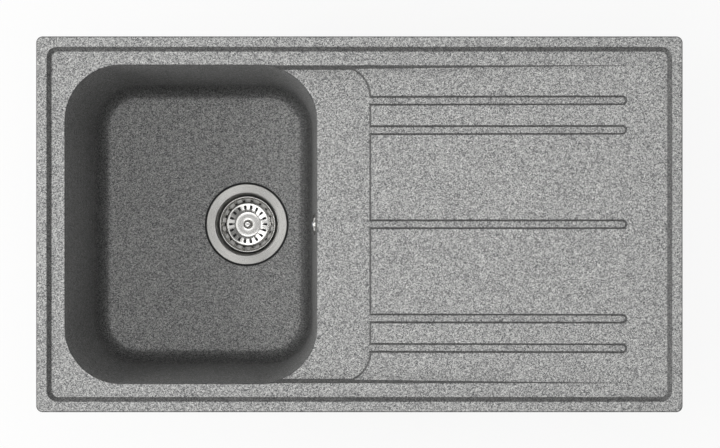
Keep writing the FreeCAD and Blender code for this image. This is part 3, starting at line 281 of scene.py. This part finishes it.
@dataclass(frozen=True)
class PlatedMetal(Finish):
    """Zinc plated steel, or turned brass: a metal with a cloudy, slightly spangled skin."""

    spangle_mm: float = 2.5
    gloss_change: float = 0.3
    unevenness: float = 0.12

    def texture(self, tree: bpy.types.NodeTree, shader: bpy.types.Node) -> None:
        """Cloudy gloss and a slight change of tone from grain to grain."""
        place = self.place(tree)
        cloud = add_node(tree, "ShaderNodeTexNoise", {
            "Vector": place, "Scale": per_metre(self.spangle_mm), "Detail": 4.0})
        gloss = add_node(tree, "ShaderNodeMapRange", {
            "Value": cloud.outputs["Fac"], "From Min": self.noise_span[0], "From Max": self.noise_span[1],
            "To Min": self.roughness * (1 - self.gloss_change),
            "To Max": self.roughness * (1 + self.gloss_change)})
        bright = add_node(tree, "ShaderNodeMapRange", {
            "Value": cloud.outputs["Fac"], "From Min": self.noise_span[0], "From Max": self.noise_span[1],
            "To Min": 1 - self.unevenness, "To Max": 1 + self.unevenness})
        tinted = add_node(tree, "ShaderNodeVectorMath", {
            0: linear(self.colour)[:3], "Scale": bright.outputs["Result"]}, operation="SCALE")
        tree.links.new(gloss.outputs["Result"], shader.inputs["Roughness"])
        tree.links.new(tinted.outputs["Vector"], shader.inputs["Base Color"])


@dataclass(frozen=True)
class MouldedPolymer(Finish):
    """Injection moulded polypropylene, or moulded rubber: the mould's fine spark texture breaks its gloss."""

    texture_mm: float = 0.5
    relief_mm: float = 0.02
    cloud_mm: float = 25.0
    handling: float = 0.08     # how much darker the skin is where it was handled or gathered dust
    noise_span: tuple[float, float] = (0.35, 0.65)

    def texture(self, tree: bpy.types.NodeTree, shader: bpy.types.Node) -> None:
        """The mould's texture as relief, and a slow change of tone."""
        place = self.place(tree)
        spark = add_node(tree, "ShaderNodeTexNoise", {
            "Vector": place, "Scale": per_metre(self.texture_mm), "Detail": 3.0})
        relief = add_node(tree, "ShaderNodeBump", {
            "Height": spark.outputs["Fac"], "Distance": self.relief_mm * MM, "Strength": 0.6})
        cloud = add_node(tree, "ShaderNodeTexNoise", {
            "Vector": place, "Scale": per_metre(self.cloud_mm), "Detail": 3.0})
        bright = add_node(tree, "ShaderNodeMapRange", {
            "Value": cloud.outputs["Fac"], "From Min": self.noise_span[0], "From Max": self.noise_span[1],
            "To Min": 1 - self.handling, "To Max": 1.0})
        tinted = add_node(tree, "ShaderNodeVectorMath", {
            0: linear(self.colour)[:3], "Scale": bright.outputs["Result"]}, operation="SCALE")
        tree.links.new(relief.outputs["Normal"], shader.inputs["Normal"])
        tree.links.new(tinted.outputs["Vector"], shader.inputs["Base Color"])


@dataclass(frozen=True)
class CellFoam(Finish):
    """Closed-cell polyethylene foam: a dull skin pitted by its cells."""

    cell_mm: float = 0.8
    pit_mm: float = 0.2
    pit_painted_shade: str = "#1B1B1C"

    def texture(self, tree: bpy.types.NodeTree, shader: bpy.types.Node) -> None:
        """Pits where the cells were cut open, in relief, with painted shade that darkens them towards their
        middles.
        """
        cells = add_node(tree, "ShaderNodeTexVoronoi", {
            "Vector": self.place(tree), "Scale": per_metre(self.cell_mm)})
        pits = add_node(tree, "ShaderNodeBump", {
            "Height": cells.outputs["Distance"], "Distance": self.pit_mm * MM, "Strength": 0.8})
        # painted shade: the pits' middles are drawn near black
        shade = add_node(tree, "ShaderNodeValToRGB", {"Fac": cells.outputs["Distance"]},
                         stops=((0, self.pit_painted_shade), (1, self.colour)))
        tree.links.new(pits.outputs["Normal"], shader.inputs["Normal"])
        tree.links.new(shade.outputs["Color"], shader.inputs["Base Color"])


# ---------------------------------------------------------------- mesh building

@dataclass(frozen=True)
class Corner:
    """One corner of a turned profile: distance from the axis, height and the round given to it."""

    reach: float
    height: float
    round: float = 0.0


def corner_offset(before: Vector, corner: Vector, after: Vector, radius: float) -> float:
    """How far from a corner its round of that radius starts.

    Args:
        before: the profile's point before the corner.
        corner: the corner.
        after: the point after it.
        radius: the round's radius.

    Returns:
        The distance along either side, at most a little under half of the shorter one.
    """
    angle = (before - corner).angle(after - corner)
    longest = ROUND_SHARE * min((before - corner).length, (after - corner).length)
    return min(radius / math.tan(angle / 2), longest)


def turned(corners: Sequence[Corner], steps: int, start: float = 0.0) -> bmesh.types.BMesh:
    """Spins an open profile with rounded corners about the upright axis.

    Args:
        corners: the profile's corners in order, in millimetres; the first and the last aren't rounded.
        steps: how many segments the full turn has.
        start: the angle at which the first segment begins, in radians.

    Returns:
        The turned form, about the origin's Z axis.
    """
    form = bmesh.new()
    points = [Vector((c.reach, 0, c.height)) * MM for c in corners]
    verts = [form.verts.new(point) for point in points]
    for ends in zip(verts, verts[1:]):
        form.edges.new(ends)
    for i, corner in enumerate(corners):
        if corner.round:
            offset = corner_offset(points[i - 1], points[i], points[i + 1], corner.round * MM)
            bmesh.ops.bevel(form, geom=[verts[i]], offset=offset, offset_type="OFFSET", segments=ROUND_STEPS,
                            profile=0.5, affect="VERTICES", material=-1)
    bmesh.ops.rotate(form, verts=form.verts[:], cent=(0, 0, 0), matrix=Matrix.Rotation(start, 3, "Z"))
    bmesh.ops.spin(form, geom=form.verts[:] + form.edges[:], cent=(0, 0, 0), axis=(0, 0, 1), dvec=(0, 0, 0),
                   angle=FULL_TURN, steps=steps, use_merge=True)
    bmesh.ops.remove_doubles(form, verts=form.verts[:], dist=MERGE)
    bmesh.ops.recalc_face_normals(form, faces=form.faces[:])
    return form


def gathered(forms: Iterable[bmesh.types.BMesh], places: Sequence[Vector]) -> bmesh.types.BMesh:
    """Puts closed forms side by side into one, once at each place.

    Args:
        forms: the forms, which are used up.
        places: where their common origin goes, in metres.

    Returns:
        The one form.
    """
    whole = bmesh.new()
    for form in forms:
        mesh = bpy.data.meshes.new("gathered")
        form.to_mesh(mesh)
        form.free()
        for place in places:
            before = len(whole.verts)
            whole.from_mesh(mesh)
            bmesh.ops.translate(whole, verts=whole.verts[:][before:], vec=place)
        bpy.data.meshes.remove(mesh)
    return whole


def finished(form: bmesh.types.BMesh, name: str, place: Vector) -> bpy.types.Object:
    """Makes an object of a form, with its place in its mesh.

    Args:
        form: the form, which is used up.
        name: the piece's name.
        place: where the form's origin goes, in metres.

    Returns:
        The object, linked to the scene.
    """
    bmesh.ops.translate(form, verts=form.verts[:], vec=place)
    limit = math.radians(SHARP_DEGREES)
    for face in form.faces:
        face.smooth = True
    for edge in form.edges:
        edge.smooth = len(edge.link_faces) != 2 or edge.calc_face_angle(0.0) < limit
    mesh = bpy.data.meshes.new(name)
    form.to_mesh(mesh)
    form.free()
    piece = bpy.data.objects.new(name, mesh)
    bpy.context.scene.collection.objects.link(piece)
    return piece


def dress(piece: bpy.types.Object, material: bpy.types.Material) -> None:
    """Gives a piece one material all over."""
    piece.data.materials.clear()
    piece.data.materials.append(material)


# ---------------------------------------------------------------- sub-assemblies

@dataclass
class SubAssembly:
    """A group of pieces that are made, dressed and reported together."""

    materials: Mapping[Slot, bpy.types.Material]
    pieces: list[bpy.types.Object] = field(default_factory=list, init=False)

    def keep(self, slot: Slot, *nodes: str) -> None:
        """Dresses nodes of the frame whose shape is already right.

        Args:
            slot: the slot whose material they get.
            nodes: the nodes' names.
        """
        for name in nodes:
            dress(frame["nodes"][name], self.materials[slot])
            self.pieces.append(frame["nodes"][name])

    def add(self, piece: bpy.types.Object, slot: Slot, body: Body, *stands_for: str) -> None:
        """Dresses a new piece, ties it to its body and hides the nodes that it stands for.

        Args:
            piece: the new object.
            slot: its material slot.
            body: the body that it moves with.
            stands_for: the nodes that it is shown instead of.
        """
        dress(piece, self.materials[slot])
        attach(piece, body.value)
        if stands_for:
            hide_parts(*stands_for)
        self.pieces.append(piece)

    def build(self) -> list[bpy.types.Object]:
        """Makes the group's pieces; each group overrides this.

        Returns:
            The pieces.
        """
        return self.pieces


@dataclass
class Moulding(SubAssembly):
    """The cast sink itself and the foam strip under its rim."""

    def build(self) -> list[bpy.types.Object]:
        """Dresses the moulding and its seal."""
        self.keep(Slot.STONE, "sink_body")
        self.keep(Slot.FOAM, "rim_seal")
        return self.pieces


@dataclass
class Strainer(SubAssembly):
    """The drain's flange and dish, with its screw and gaskets."""

    def build(self) -> list[bpy.types.Object]:
        """Dresses the dish and what holds it."""
        self.keep(Slot.BRUSHED, "strainer_dish")
        self.keep(Slot.RUBBER, "flange_gasket", "waste_gasket")
        self.keep(Slot.ZINC, "centre_screw")
        return self.pieces


@dataclass
class Basket(SubAssembly):
    """The lift-out basket: a slotted cup with a rolled rim, its knob, and the seal and peg below.

    Heights are from the bowl's floor. The cup is cut on its turning steps: both kinds of slot start and end on
    one, so the steps are two and a half degrees and the first starts half a step round.
    """

    axis: Vector = field(default_factory=Vector)
    sheet: float = 0.8
    rim_r: float = 41.0
    rim_top: float = -15.0
    roll: float = 2.4
    roll_flat: float = 0.05               # half of what the rim's rounds leave straight
    wall_top_r: float = 38.6
    wall_top_round: float = 0.8
    foot_r: float = 31.0
    foot: float = -29.0
    foot_round: float = 3.0
    cone_top: float = -27.3
    cone_top_round: float = 0.4
    middle_r: float = 18.3
    middle_top: float = -25.8
    middle_round: float = 0.8
    stud_r: float = 2.0
    stud_play: float = 0.1
    slots: int = 18
    steps: int = 144
    wall_slot: tuple[float, float] = (32.5, 37.5)
    wall_slot_steps: float = 2.5          # turning steps from a slot's middle to its side
    floor_slot: tuple[float, float] = (22.5, 28.0)
    floor_slot_steps: float = 1.5
    slot_round: float = 0.9
    through_length: float = 1.3           # the longest edge through the sheet, against the sheet's thickness
    through_degrees: float = 60.0         # the least angle between the faces at such an edge
    through_lean: float = 0.2             # the cosine of the least angle between it and those faces' mean normal
    edge_round: float = 0.15
    edge_degrees: float = 50.0
    knob_r: float = 5.6
    knob_top: float = -12.8
    knob_top_round: float = 2.8
    knob_head: float = 6.5
    knob_under_round: float = 1.4
    knob_steps: int = 64
    waist_r: float = 3.5
    waist_round: float = 0.9
    skirt_height: float = 2.2
    skirt_width: float = 1.0
    stud_end: float = -41.2
    stud_round: float = 0.4

    def wall_height(self, reach: float) -> float:
        """The height of the leaning wall at a distance from the axis."""
        rise = self.rim_top - self.roll - self.foot
        return self.foot + rise * (reach - self.foot_r) / (self.wall_top_r - self.foot_r)

    def floor_height(self, reach: float) -> float:
        """The height of the coned floor at a distance from the axis."""
        return self.foot + (self.cone_top - self.foot) * (self.foot_r - reach) / (self.foot_r - self.middle_r)

    def cut_slots(self, form: bmesh.types.BMesh, spans: Sequence[tuple[float, float]], half_steps: float,
                  first: float) -> None:
        """Takes out one ring of slots.

        Args:
            form: the turned cup, before it has a thickness.
            spans: the distances from the axis between which faces go.
            half_steps: turning steps from a slot's middle to its side.
            first: the first slot's angle, in radians.
        """
        pitch = FULL_TURN / self.slots
        reach = FULL_TURN / self.steps * half_steps
        gone = []
        for face in form.faces:
            middle = face.calc_center_median()
            off = (math.atan2(middle.y, middle.x) - first + pitch / 2) % pitch - pitch / 2
            distance = math.hypot(middle.x, middle.y) / MM
            if abs(off) < reach and any(low < distance < high for low, high in spans):
                gone.append(face)
        bmesh.ops.delete(form, geom=gone, context="FACES")

    def cup(self) -> bmesh.types.BMesh:
        """Turns the cup's upper side, cuts its slots, gives it the sheet's thickness and rounds the slots.

        Returns:
            The cup about the drain's axis.
        """
        low_wall, high_wall = self.wall_slot
        low_floor, high_floor = self.floor_slot
        curl = self.roll / 2 - self.roll_flat
        rim_foot = self.rim_top - self.roll
        form = turned([
            Corner(self.stud_r + self.stud_play, self.middle_top),
            Corner(self.middle_r, self.middle_top, self.middle_round),
            Corner(self.middle_r, self.cone_top, self.cone_top_round),
            Corner(low_floor, self.floor_height(low_floor)), Corner(high_floor, self.floor_height(high_floor)),
            Corner(self.foot_r, self.foot, self.foot_round),
            Corner(low_wall, self.wall_height(low_wall)), Corner(high_wall, self.wall_height(high_wall)),
            Corner(self.wall_top_r, rim_foot, self.wall_top_round), Corner(self.wall_top_r, self.rim_top, curl),
            Corner(self.rim_r, self.rim_top, curl), Corner(self.rim_r, rim_foot, curl),
            Corner(self.rim_r - curl, rim_foot),
        ], self.steps, start=FULL_TURN / self.steps / 2)
        self.cut_slots(form, [self.wall_slot], self.wall_slot_steps, FULL_TURN / self.slots / 2)
        self.cut_slots(form, [self.floor_slot], self.floor_slot_steps, 0.0)
        # a run may leave the normals either way up; the innermost faces are level, so they tell which
        middle = min(form.faces, key=lambda face: face.calc_center_median().xy.length)
        if middle.normal.z < 0:
            bmesh.ops.reverse_faces(form, faces=form.faces[:])
        bmesh.ops.solidify(form, geom=form.faces[:], thickness=self.sheet * MM)
        self.round_slots(form)
        return form

    def round_slots(self, form: bmesh.types.BMesh) -> None:
        """Rounds the corners of the slots, whose edges run through the sheet."""
        through = [edge for edge in form.edges if len(edge.link_faces) == 2
                   and edge.calc_length() < self.sheet * MM * self.through_length
                   and edge.calc_face_angle(0.0) > math.radians(self.through_degrees)
                   and abs((edge.verts[0].co - edge.verts[1].co).normalized().dot(
                       sum((face.normal for face in edge.link_faces), Vector()).normalized())) < self.through_lean]
        bmesh.ops.bevel(form, geom=through, offset=self.slot_round * MM, offset_type="OFFSET", segments=3,
                        profile=0.5, affect="EDGES", material=-1)

    def knob(self) -> bmesh.types.BMesh:
        """The turned knob with its stud, closed at both poles."""
        neck = self.knob_top - self.knob_head
        return turned([
            Corner(0, self.knob_top), Corner(self.knob_r, self.knob_top, self.knob_top_round),
            Corner(self.knob_r, neck, self.knob_under_round), Corner(self.waist_r, neck, self.waist_round),
            Corner(self.waist_r, self.middle_top + self.skirt_height, self.waist_round),
            Corner(self.waist_r + self.skirt_width, self.middle_top), Corner(self.stud_r, self.middle_top),
            Corner(self.stud_r, self.stud_end, self.stud_round), Corner(0, self.stud_end),
        ], self.knob_steps)

    def build(self) -> list[bpy.types.Object]:
        """Makes the cup and the knob and dresses the rest."""
        cup = finished(self.cup(), "basket_cup_punched", self.axis)
        worn = cup.modifiers.new("worn_edges", "BEVEL")
        worn.width = self.edge_round * MM
        worn.segments = 2
        worn.limit_method = "ANGLE"
        worn.angle_limit = math.radians(self.edge_degrees)
        self.add(cup, Slot.POLISHED, Body.BASKET, "basket_cup")
        self.add(finished(self.knob(), "basket_knob_turned", self.axis), Slot.POLISHED, Body.BASKET, "basket_knob")
        self.keep(Slot.RUBBER, "basket_seal")
        self.keep(Slot.ZINC, "basket_washer")
        self.keep(Slot.PLASTIC, "basket_peg")
        return self.pieces


@dataclass
class Waste(SubAssembly):
    """What carries the water off below the bowl: the waste body and the overflow."""

    def build(self) -> list[bpy.types.Object]:
        """Dresses the waste body, the overflow's pieces and their joints."""
        self.keep(Slot.PLASTIC, "waste_body", "overflow_housing", "overflow_pipe", "overflow_nut_upper",
                  "overflow_nut_lower")
        self.keep(Slot.BRASS, "waste_insert")
        self.keep(Slot.POLISHED, "overflow_cover")
        self.keep(Slot.ZINC, "overflow_screw")
        self.keep(Slot.RUBBER, "overflow_gasket", "overflow_seal_upper", "overflow_seal_lower")
        return self.pieces


@dataclass
class RimClamps(SubAssembly):
    """Eight hexagon screws with rolled threads, their brass inserts and their swinging claws.

    A screw's heights are from the foot of its head.
    """

    across_flats: float = 10.0
    head_height: float = 3.0
    head_chamfer: float = 0.5
    collar_r: float = 6.0
    collar_height: float = 1.0
    collar_round: float = 0.3
    plain_length: float = 3.2        # of the shank, where the claw turns
    thread_r: float = 3.0
    thread_start: float = 0.5        # the length over which the shank tapers down to the core
    core_r: float = 2.45
    point_round: float = 0.5
    pitch: float = 1.0
    crest: float = 0.14
    root: float = 0.92               # the ridge's width at its root
    root_sunk: float = 0.1           # how deep the ridge's root lies in the core
    turn_steps: int = 16

    def head(self) -> bmesh.types.BMesh:
        """The hexagon head, chamfered round its foot."""
        form = bmesh.new()
        half_side = math.pi / 6      # the angle from the middle of a side to a corner
        reach = self.across_flats / 2 / math.cos(half_side) * MM
        bmesh.ops.create_cone(form, cap_ends=True, segments=6, radius1=reach, radius2=reach,
                              depth=self.head_height * MM)
        bmesh.ops.rotate(form, verts=form.verts[:], cent=(0, 0, 0), matrix=Matrix.Rotation(half_side, 3, "Z"))
        bmesh.ops.translate(form, verts=form.verts[:], vec=(0, 0, self.head_height / 2 * MM))
        foot = [edge for edge in form.edges if all(vert.co.z < MERGE for vert in edge.verts)]
        bmesh.ops.bevel(form, geom=foot, offset=self.head_chamfer * MM, offset_type="OFFSET", segments=2,
                        profile=0.5, affect="EDGES", material=-1)
        return form

    def shank(self, length: float) -> bmesh.types.BMesh:
        """The collar below the claw, the plain shank where it turns and the thread's core.

        Args:
            length: the whole screw's, in millimetres.

        Returns:
            The turned form.
        """
        seat = self.head_height + self.collar_height
        thread_foot = seat + self.plain_length
        return turned([
            Corner(0, self.head_height), Corner(self.collar_r, self.head_height, self.collar_round),
            Corner(self.collar_r, seat, self.collar_round), Corner(self.thread_r, seat),
            Corner(self.thread_r, thread_foot), Corner(self.core_r, thread_foot + self.thread_start),
            Corner(self.core_r, length, self.point_round), Corner(0, length),
        ], self.turn_steps * 2)

    def ridge(self, length: float) -> bmesh.types.BMesh:
        """The thread's ridge, wound up the core.

        Args:
            length: the whole screw's, in millimetres.

        Returns:
            The closed helical ridge.
        """
        form = bmesh.new()
        low = self.head_height + self.collar_height + self.plain_length + self.pitch / 2
        turns = (length - self.pitch - low) / self.pitch
        foot = self.core_r - self.root_sunk
        verts = [form.verts.new(Vector((reach, 0, low + rise)) * MM) for reach, rise in (
            (foot, -self.root / 2), (self.thread_r, -self.crest / 2), (self.thread_r, self.crest / 2),
            (foot, self.root / 2))]
        form.faces.new(verts)
        steps = round(turns * self.turn_steps)
        bmesh.ops.spin(form, geom=form.verts[:] + form.edges[:] + form.faces[:], cent=(0, 0, 0), axis=(0, 0, 1),
                       dvec=(0, 0, self.pitch * MM / self.turn_steps), angle=steps * FULL_TURN / self.turn_steps,
                       steps=steps)
        bmesh.ops.recalc_face_normals(form, faces=form.faces[:])
        return form

    def screws(self) -> bpy.types.Object:
        """Makes the eight screws, each on its claw's hinge."""
        low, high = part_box("clamp_screws")
        length = (high.z - low.z) / MM
        hinges = [joint["pos_m"] for joint in frame["joints"] if joint["type"] == "hinge"]
        whole = gathered((self.head(), self.shank(length), self.ridge(length)),
                         [Vector((x, y, low.z)) for x, y, _ in hinges])
        return finished(whole, "clamp_screws_threaded", Vector())

    def build(self) -> list[bpy.types.Object]:
        """Makes the screws and dresses the inserts and claws."""
        self.add(self.screws(), Slot.ZINC, Body.SINK, "clamp_screws")
        self.keep(Slot.BRASS, "clamp_inserts")
        self.keep(Slot.ZINC, *(name for name in frame["nodes"] if name.startswith("clamp_claw_")))
        return self.pieces


# ---------------------------------------------------------------- studio

@dataclass(frozen=True)
class Softbox:
    """A rectangular soft lamp that faces the middle of the sink: its place in metres, watts and sides."""

    name: str
    place: tuple[float, float, float]
    watts: float
    length: float
    width: float


@dataclass
class Studio:
    """A plain pale floor, plain soft light and the camera that looks straight down.

    The light comes from a bright wall low down all round, brightest at the left, from softboxes overhead that the
    steel mirrors, and from a soft lamp low on the left.
    """

    floor_z: float = -0.2705
    floor_size: float = 60.0
    floor_colour: str = "#F7F7F5"
    floor_lift: float = 0.85         # how much of the floor's look to the camera is plain white
    ceiling: float = 0.2             # the world's strength overhead
    horizon: float = 1.12            # the world's strength near the horizon
    lean: float = 0.42               # the share by which it is brighter at the left and darker at the right
    wall_top: tuple[float, float] = (0.55, 0.8)     # sines of elevation between which the wall fades out
    softboxes: tuple[Softbox, ...] = (
        Softbox("left_key", (-2.6, -0.1, 1.37), 29.0, 1.2, 1.0),
        Softbox("back_strip", (0.0, 0.56, 2.6), 6.0, 1.3, 0.6),
        Softbox("front_strip", (0.0, -0.56, 2.6), 6.0, 1.3, 0.6),
        Softbox("overhead", (0.0, 0.0, 2.7), 1.2, 1.9, 0.5),
        Softbox("right_high", (0.95, -0.05, 2.45), 2.2, 0.5, 0.8),
        Softbox("left_high", (-0.95, 0.05, 2.45), 1.1, 0.5, 0.8),
    )
    camera_place: tuple[float, float, float] = (0.0008, 0.0004, 2.135)
    lens: float = 80.0
    sensor: float = 36.0

    def floor(self) -> None:
        """Makes the floor, which looks white to the camera but keeps the sink's shadow."""
        form = bmesh.new()
        bmesh.ops.create_grid(form, x_segments=1, y_segments=1, size=self.floor_size / 2)
        piece = finished(form, "studio_floor", Vector((0, 0, self.floor_z)))
        material = bpy.data.materials.new("matt_white_floor")
        material.use_nodes = True
        tree = material.node_tree
        tree.nodes.remove(tree.nodes["Principled BSDF"])
        plain = add_node(tree, "ShaderNodeBsdfDiffuse", {"Color": linear(self.floor_colour)})
        white = add_node(tree, "ShaderNodeEmission", {"Strength": 1.0})
        path = add_node(tree, "ShaderNodeLightPath")
        seen = add_node(tree, "ShaderNodeMath", {
            0: path.outputs["Is Camera Ray"], 1: path.outputs["Is Glossy Ray"]}, operation="MAXIMUM")
        seen = add_node(tree, "ShaderNodeMath", {
            0: seen.outputs["Value"], 1: path.outputs["Is Transmission Ray"]}, operation="MAXIMUM")
        share = add_node(tree, "ShaderNodeMath", {0: seen.outputs["Value"], 1: self.floor_lift},
                         operation="MULTIPLY")
        mix = add_node(tree, "ShaderNodeMixShader", {
            "Fac": share.outputs["Value"], 1: plain.outputs["BSDF"], 2: white.outputs["Emission"]})
        tree.links.new(mix.outputs["Shader"], tree.nodes["Material Output"].inputs["Surface"])
        dress(piece, material)

    def world(self) -> None:
        """Lights the sink softly from all round, least from straight above and most from the left."""
        world = bpy.data.worlds.new("soft_studio")
        bpy.context.scene.world = world
        world.use_nodes = True
        tree = world.node_tree
        direction = add_node(tree, "ShaderNodeTexCoord").outputs["Generated"]
        parts = add_node(tree, "ShaderNodeSeparateXYZ", {"Vector": direction}).outputs
        level = add_node(tree, "ShaderNodeMapRange", {
            "Value": parts["Z"], "From Min": self.wall_top[0], "From Max": self.wall_top[1],
            "To Min": self.horizon, "To Max": self.ceiling},
            interpolation_type="SMOOTHSTEP")
        side = add_node(tree, "ShaderNodeMath", {0: parts["X"], 1: -self.lean, 2: 1.0}, operation="MULTIPLY_ADD")
        strength = add_node(tree, "ShaderNodeMath", {0: level.outputs["Result"], 1: side.outputs["Value"]},
                            operation="MULTIPLY")
        tree.links.new(strength.outputs["Value"], tree.nodes["Background"].inputs["Strength"])
        tree.nodes["Background"].inputs["Color"].default_value = (1, 1, 1, 1)

    @staticmethod
    def lamp(box: Softbox) -> None:
        """Hangs one softbox, which the camera doesn't see."""
        data = bpy.data.lights.new(box.name, "AREA")
        data.shape = "RECTANGLE"
        data.energy = box.watts
        data.size = box.length
        data.size_y = box.width
        lamp = bpy.data.objects.new(box.name, data)
        lamp.location = box.place
        lamp.rotation_euler = (-Vector(box.place)).to_track_quat("-Z", "Y").to_euler()
        lamp.visible_camera = False
        bpy.context.scene.collection.objects.link(lamp)

    def camera(self) -> None:
        """Sets the camera straight above the sink, at the height that fits the photograph's perspective."""
        data = bpy.data.cameras.new("camera")
        data.lens = self.lens
        data.sensor_width = self.sensor
        camera = bpy.data.objects.new("camera", data)
        camera.location = self.camera_place
        bpy.context.scene.collection.objects.link(camera)
        bpy.context.scene.camera = camera

    def build(self) -> None:
        """Sets up the floor, the light and the camera."""
        bpy.context.scene.view_settings.view_transform = "Standard"
        self.floor()
        self.world()
        for box in self.softboxes:
            self.lamp(box)
        self.camera()


# ---------------------------------------------------------------- the whole sink

def drain_axis() -> Vector:
    """Where the drain's axis meets the bowl's floor, in metres."""
    low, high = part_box("strainer_dish")
    return Vector(((low.x + high.x) / 2, 0.0, BOWL_FLOOR))


def finishes(drain: Vector) -> list[Finish]:
    """The sink's finishes, one for each slot.

    Args:
        drain: the point that the turned steel's rings run round.

    Returns:
        The finishes.
    """
    centre = (drain.x, drain.y, drain.z)
    return [
        StoneComposite(Slot.STONE, "quartz_acrylic_composite", "#9C9C9B", 0.55),
        TurnedSteel(Slot.BRUSHED, "stainless_steel_lathe_brushed", "#ADACA9", 0.3, 1.0,
                    centre=centre, anisotropy=0.8),
        TurnedSteel(Slot.POLISHED, "stainless_steel_polished", "#D2D1CE", 0.14, 1.0,
                    centre=centre, anisotropy=0.3, wear=0.03),
        PlatedMetal(Slot.ZINC, "zinc_plated_steel", "#B4B7BC", 0.36, 1.0),
        PlatedMetal(Slot.BRASS, "turned_brass", "#C7A661", 0.3, 1.0, unevenness=0.05),
        MouldedPolymer(Slot.RUBBER, "nitrile_rubber_moulded", "#1F1F20", 0.6, texture_mm=0.3),
        CellFoam(Slot.FOAM, "closed_cell_foam", "#39393B", 0.95),
        MouldedPolymer(Slot.PLASTIC, "polypropylene_moulded", "#DFDFDB", 0.38),
    ]


def main() -> None:
    """Builds, dresses and reports the sink's groups, then the studio."""
    logging.basicConfig(level=logging.INFO, format="%(name)s: %(message)s")
    drain = drain_axis()
    materials = {finish.slot: finish.build() for finish in finishes(drain)}
    groups: Iterable[SubAssembly] = (
        Moulding(materials), Strainer(materials), Basket(materials, axis=drain), Waste(materials),
        RimClamps(materials))
    for group in groups:
        for piece in group.build():
            log.info("%s: %s, %d faces", type(group).__name__, piece.name, len(piece.data.polygons))
    Studio().build()
    bpy.context.view_layer.update()


if __name__ == "__main__":
    main()
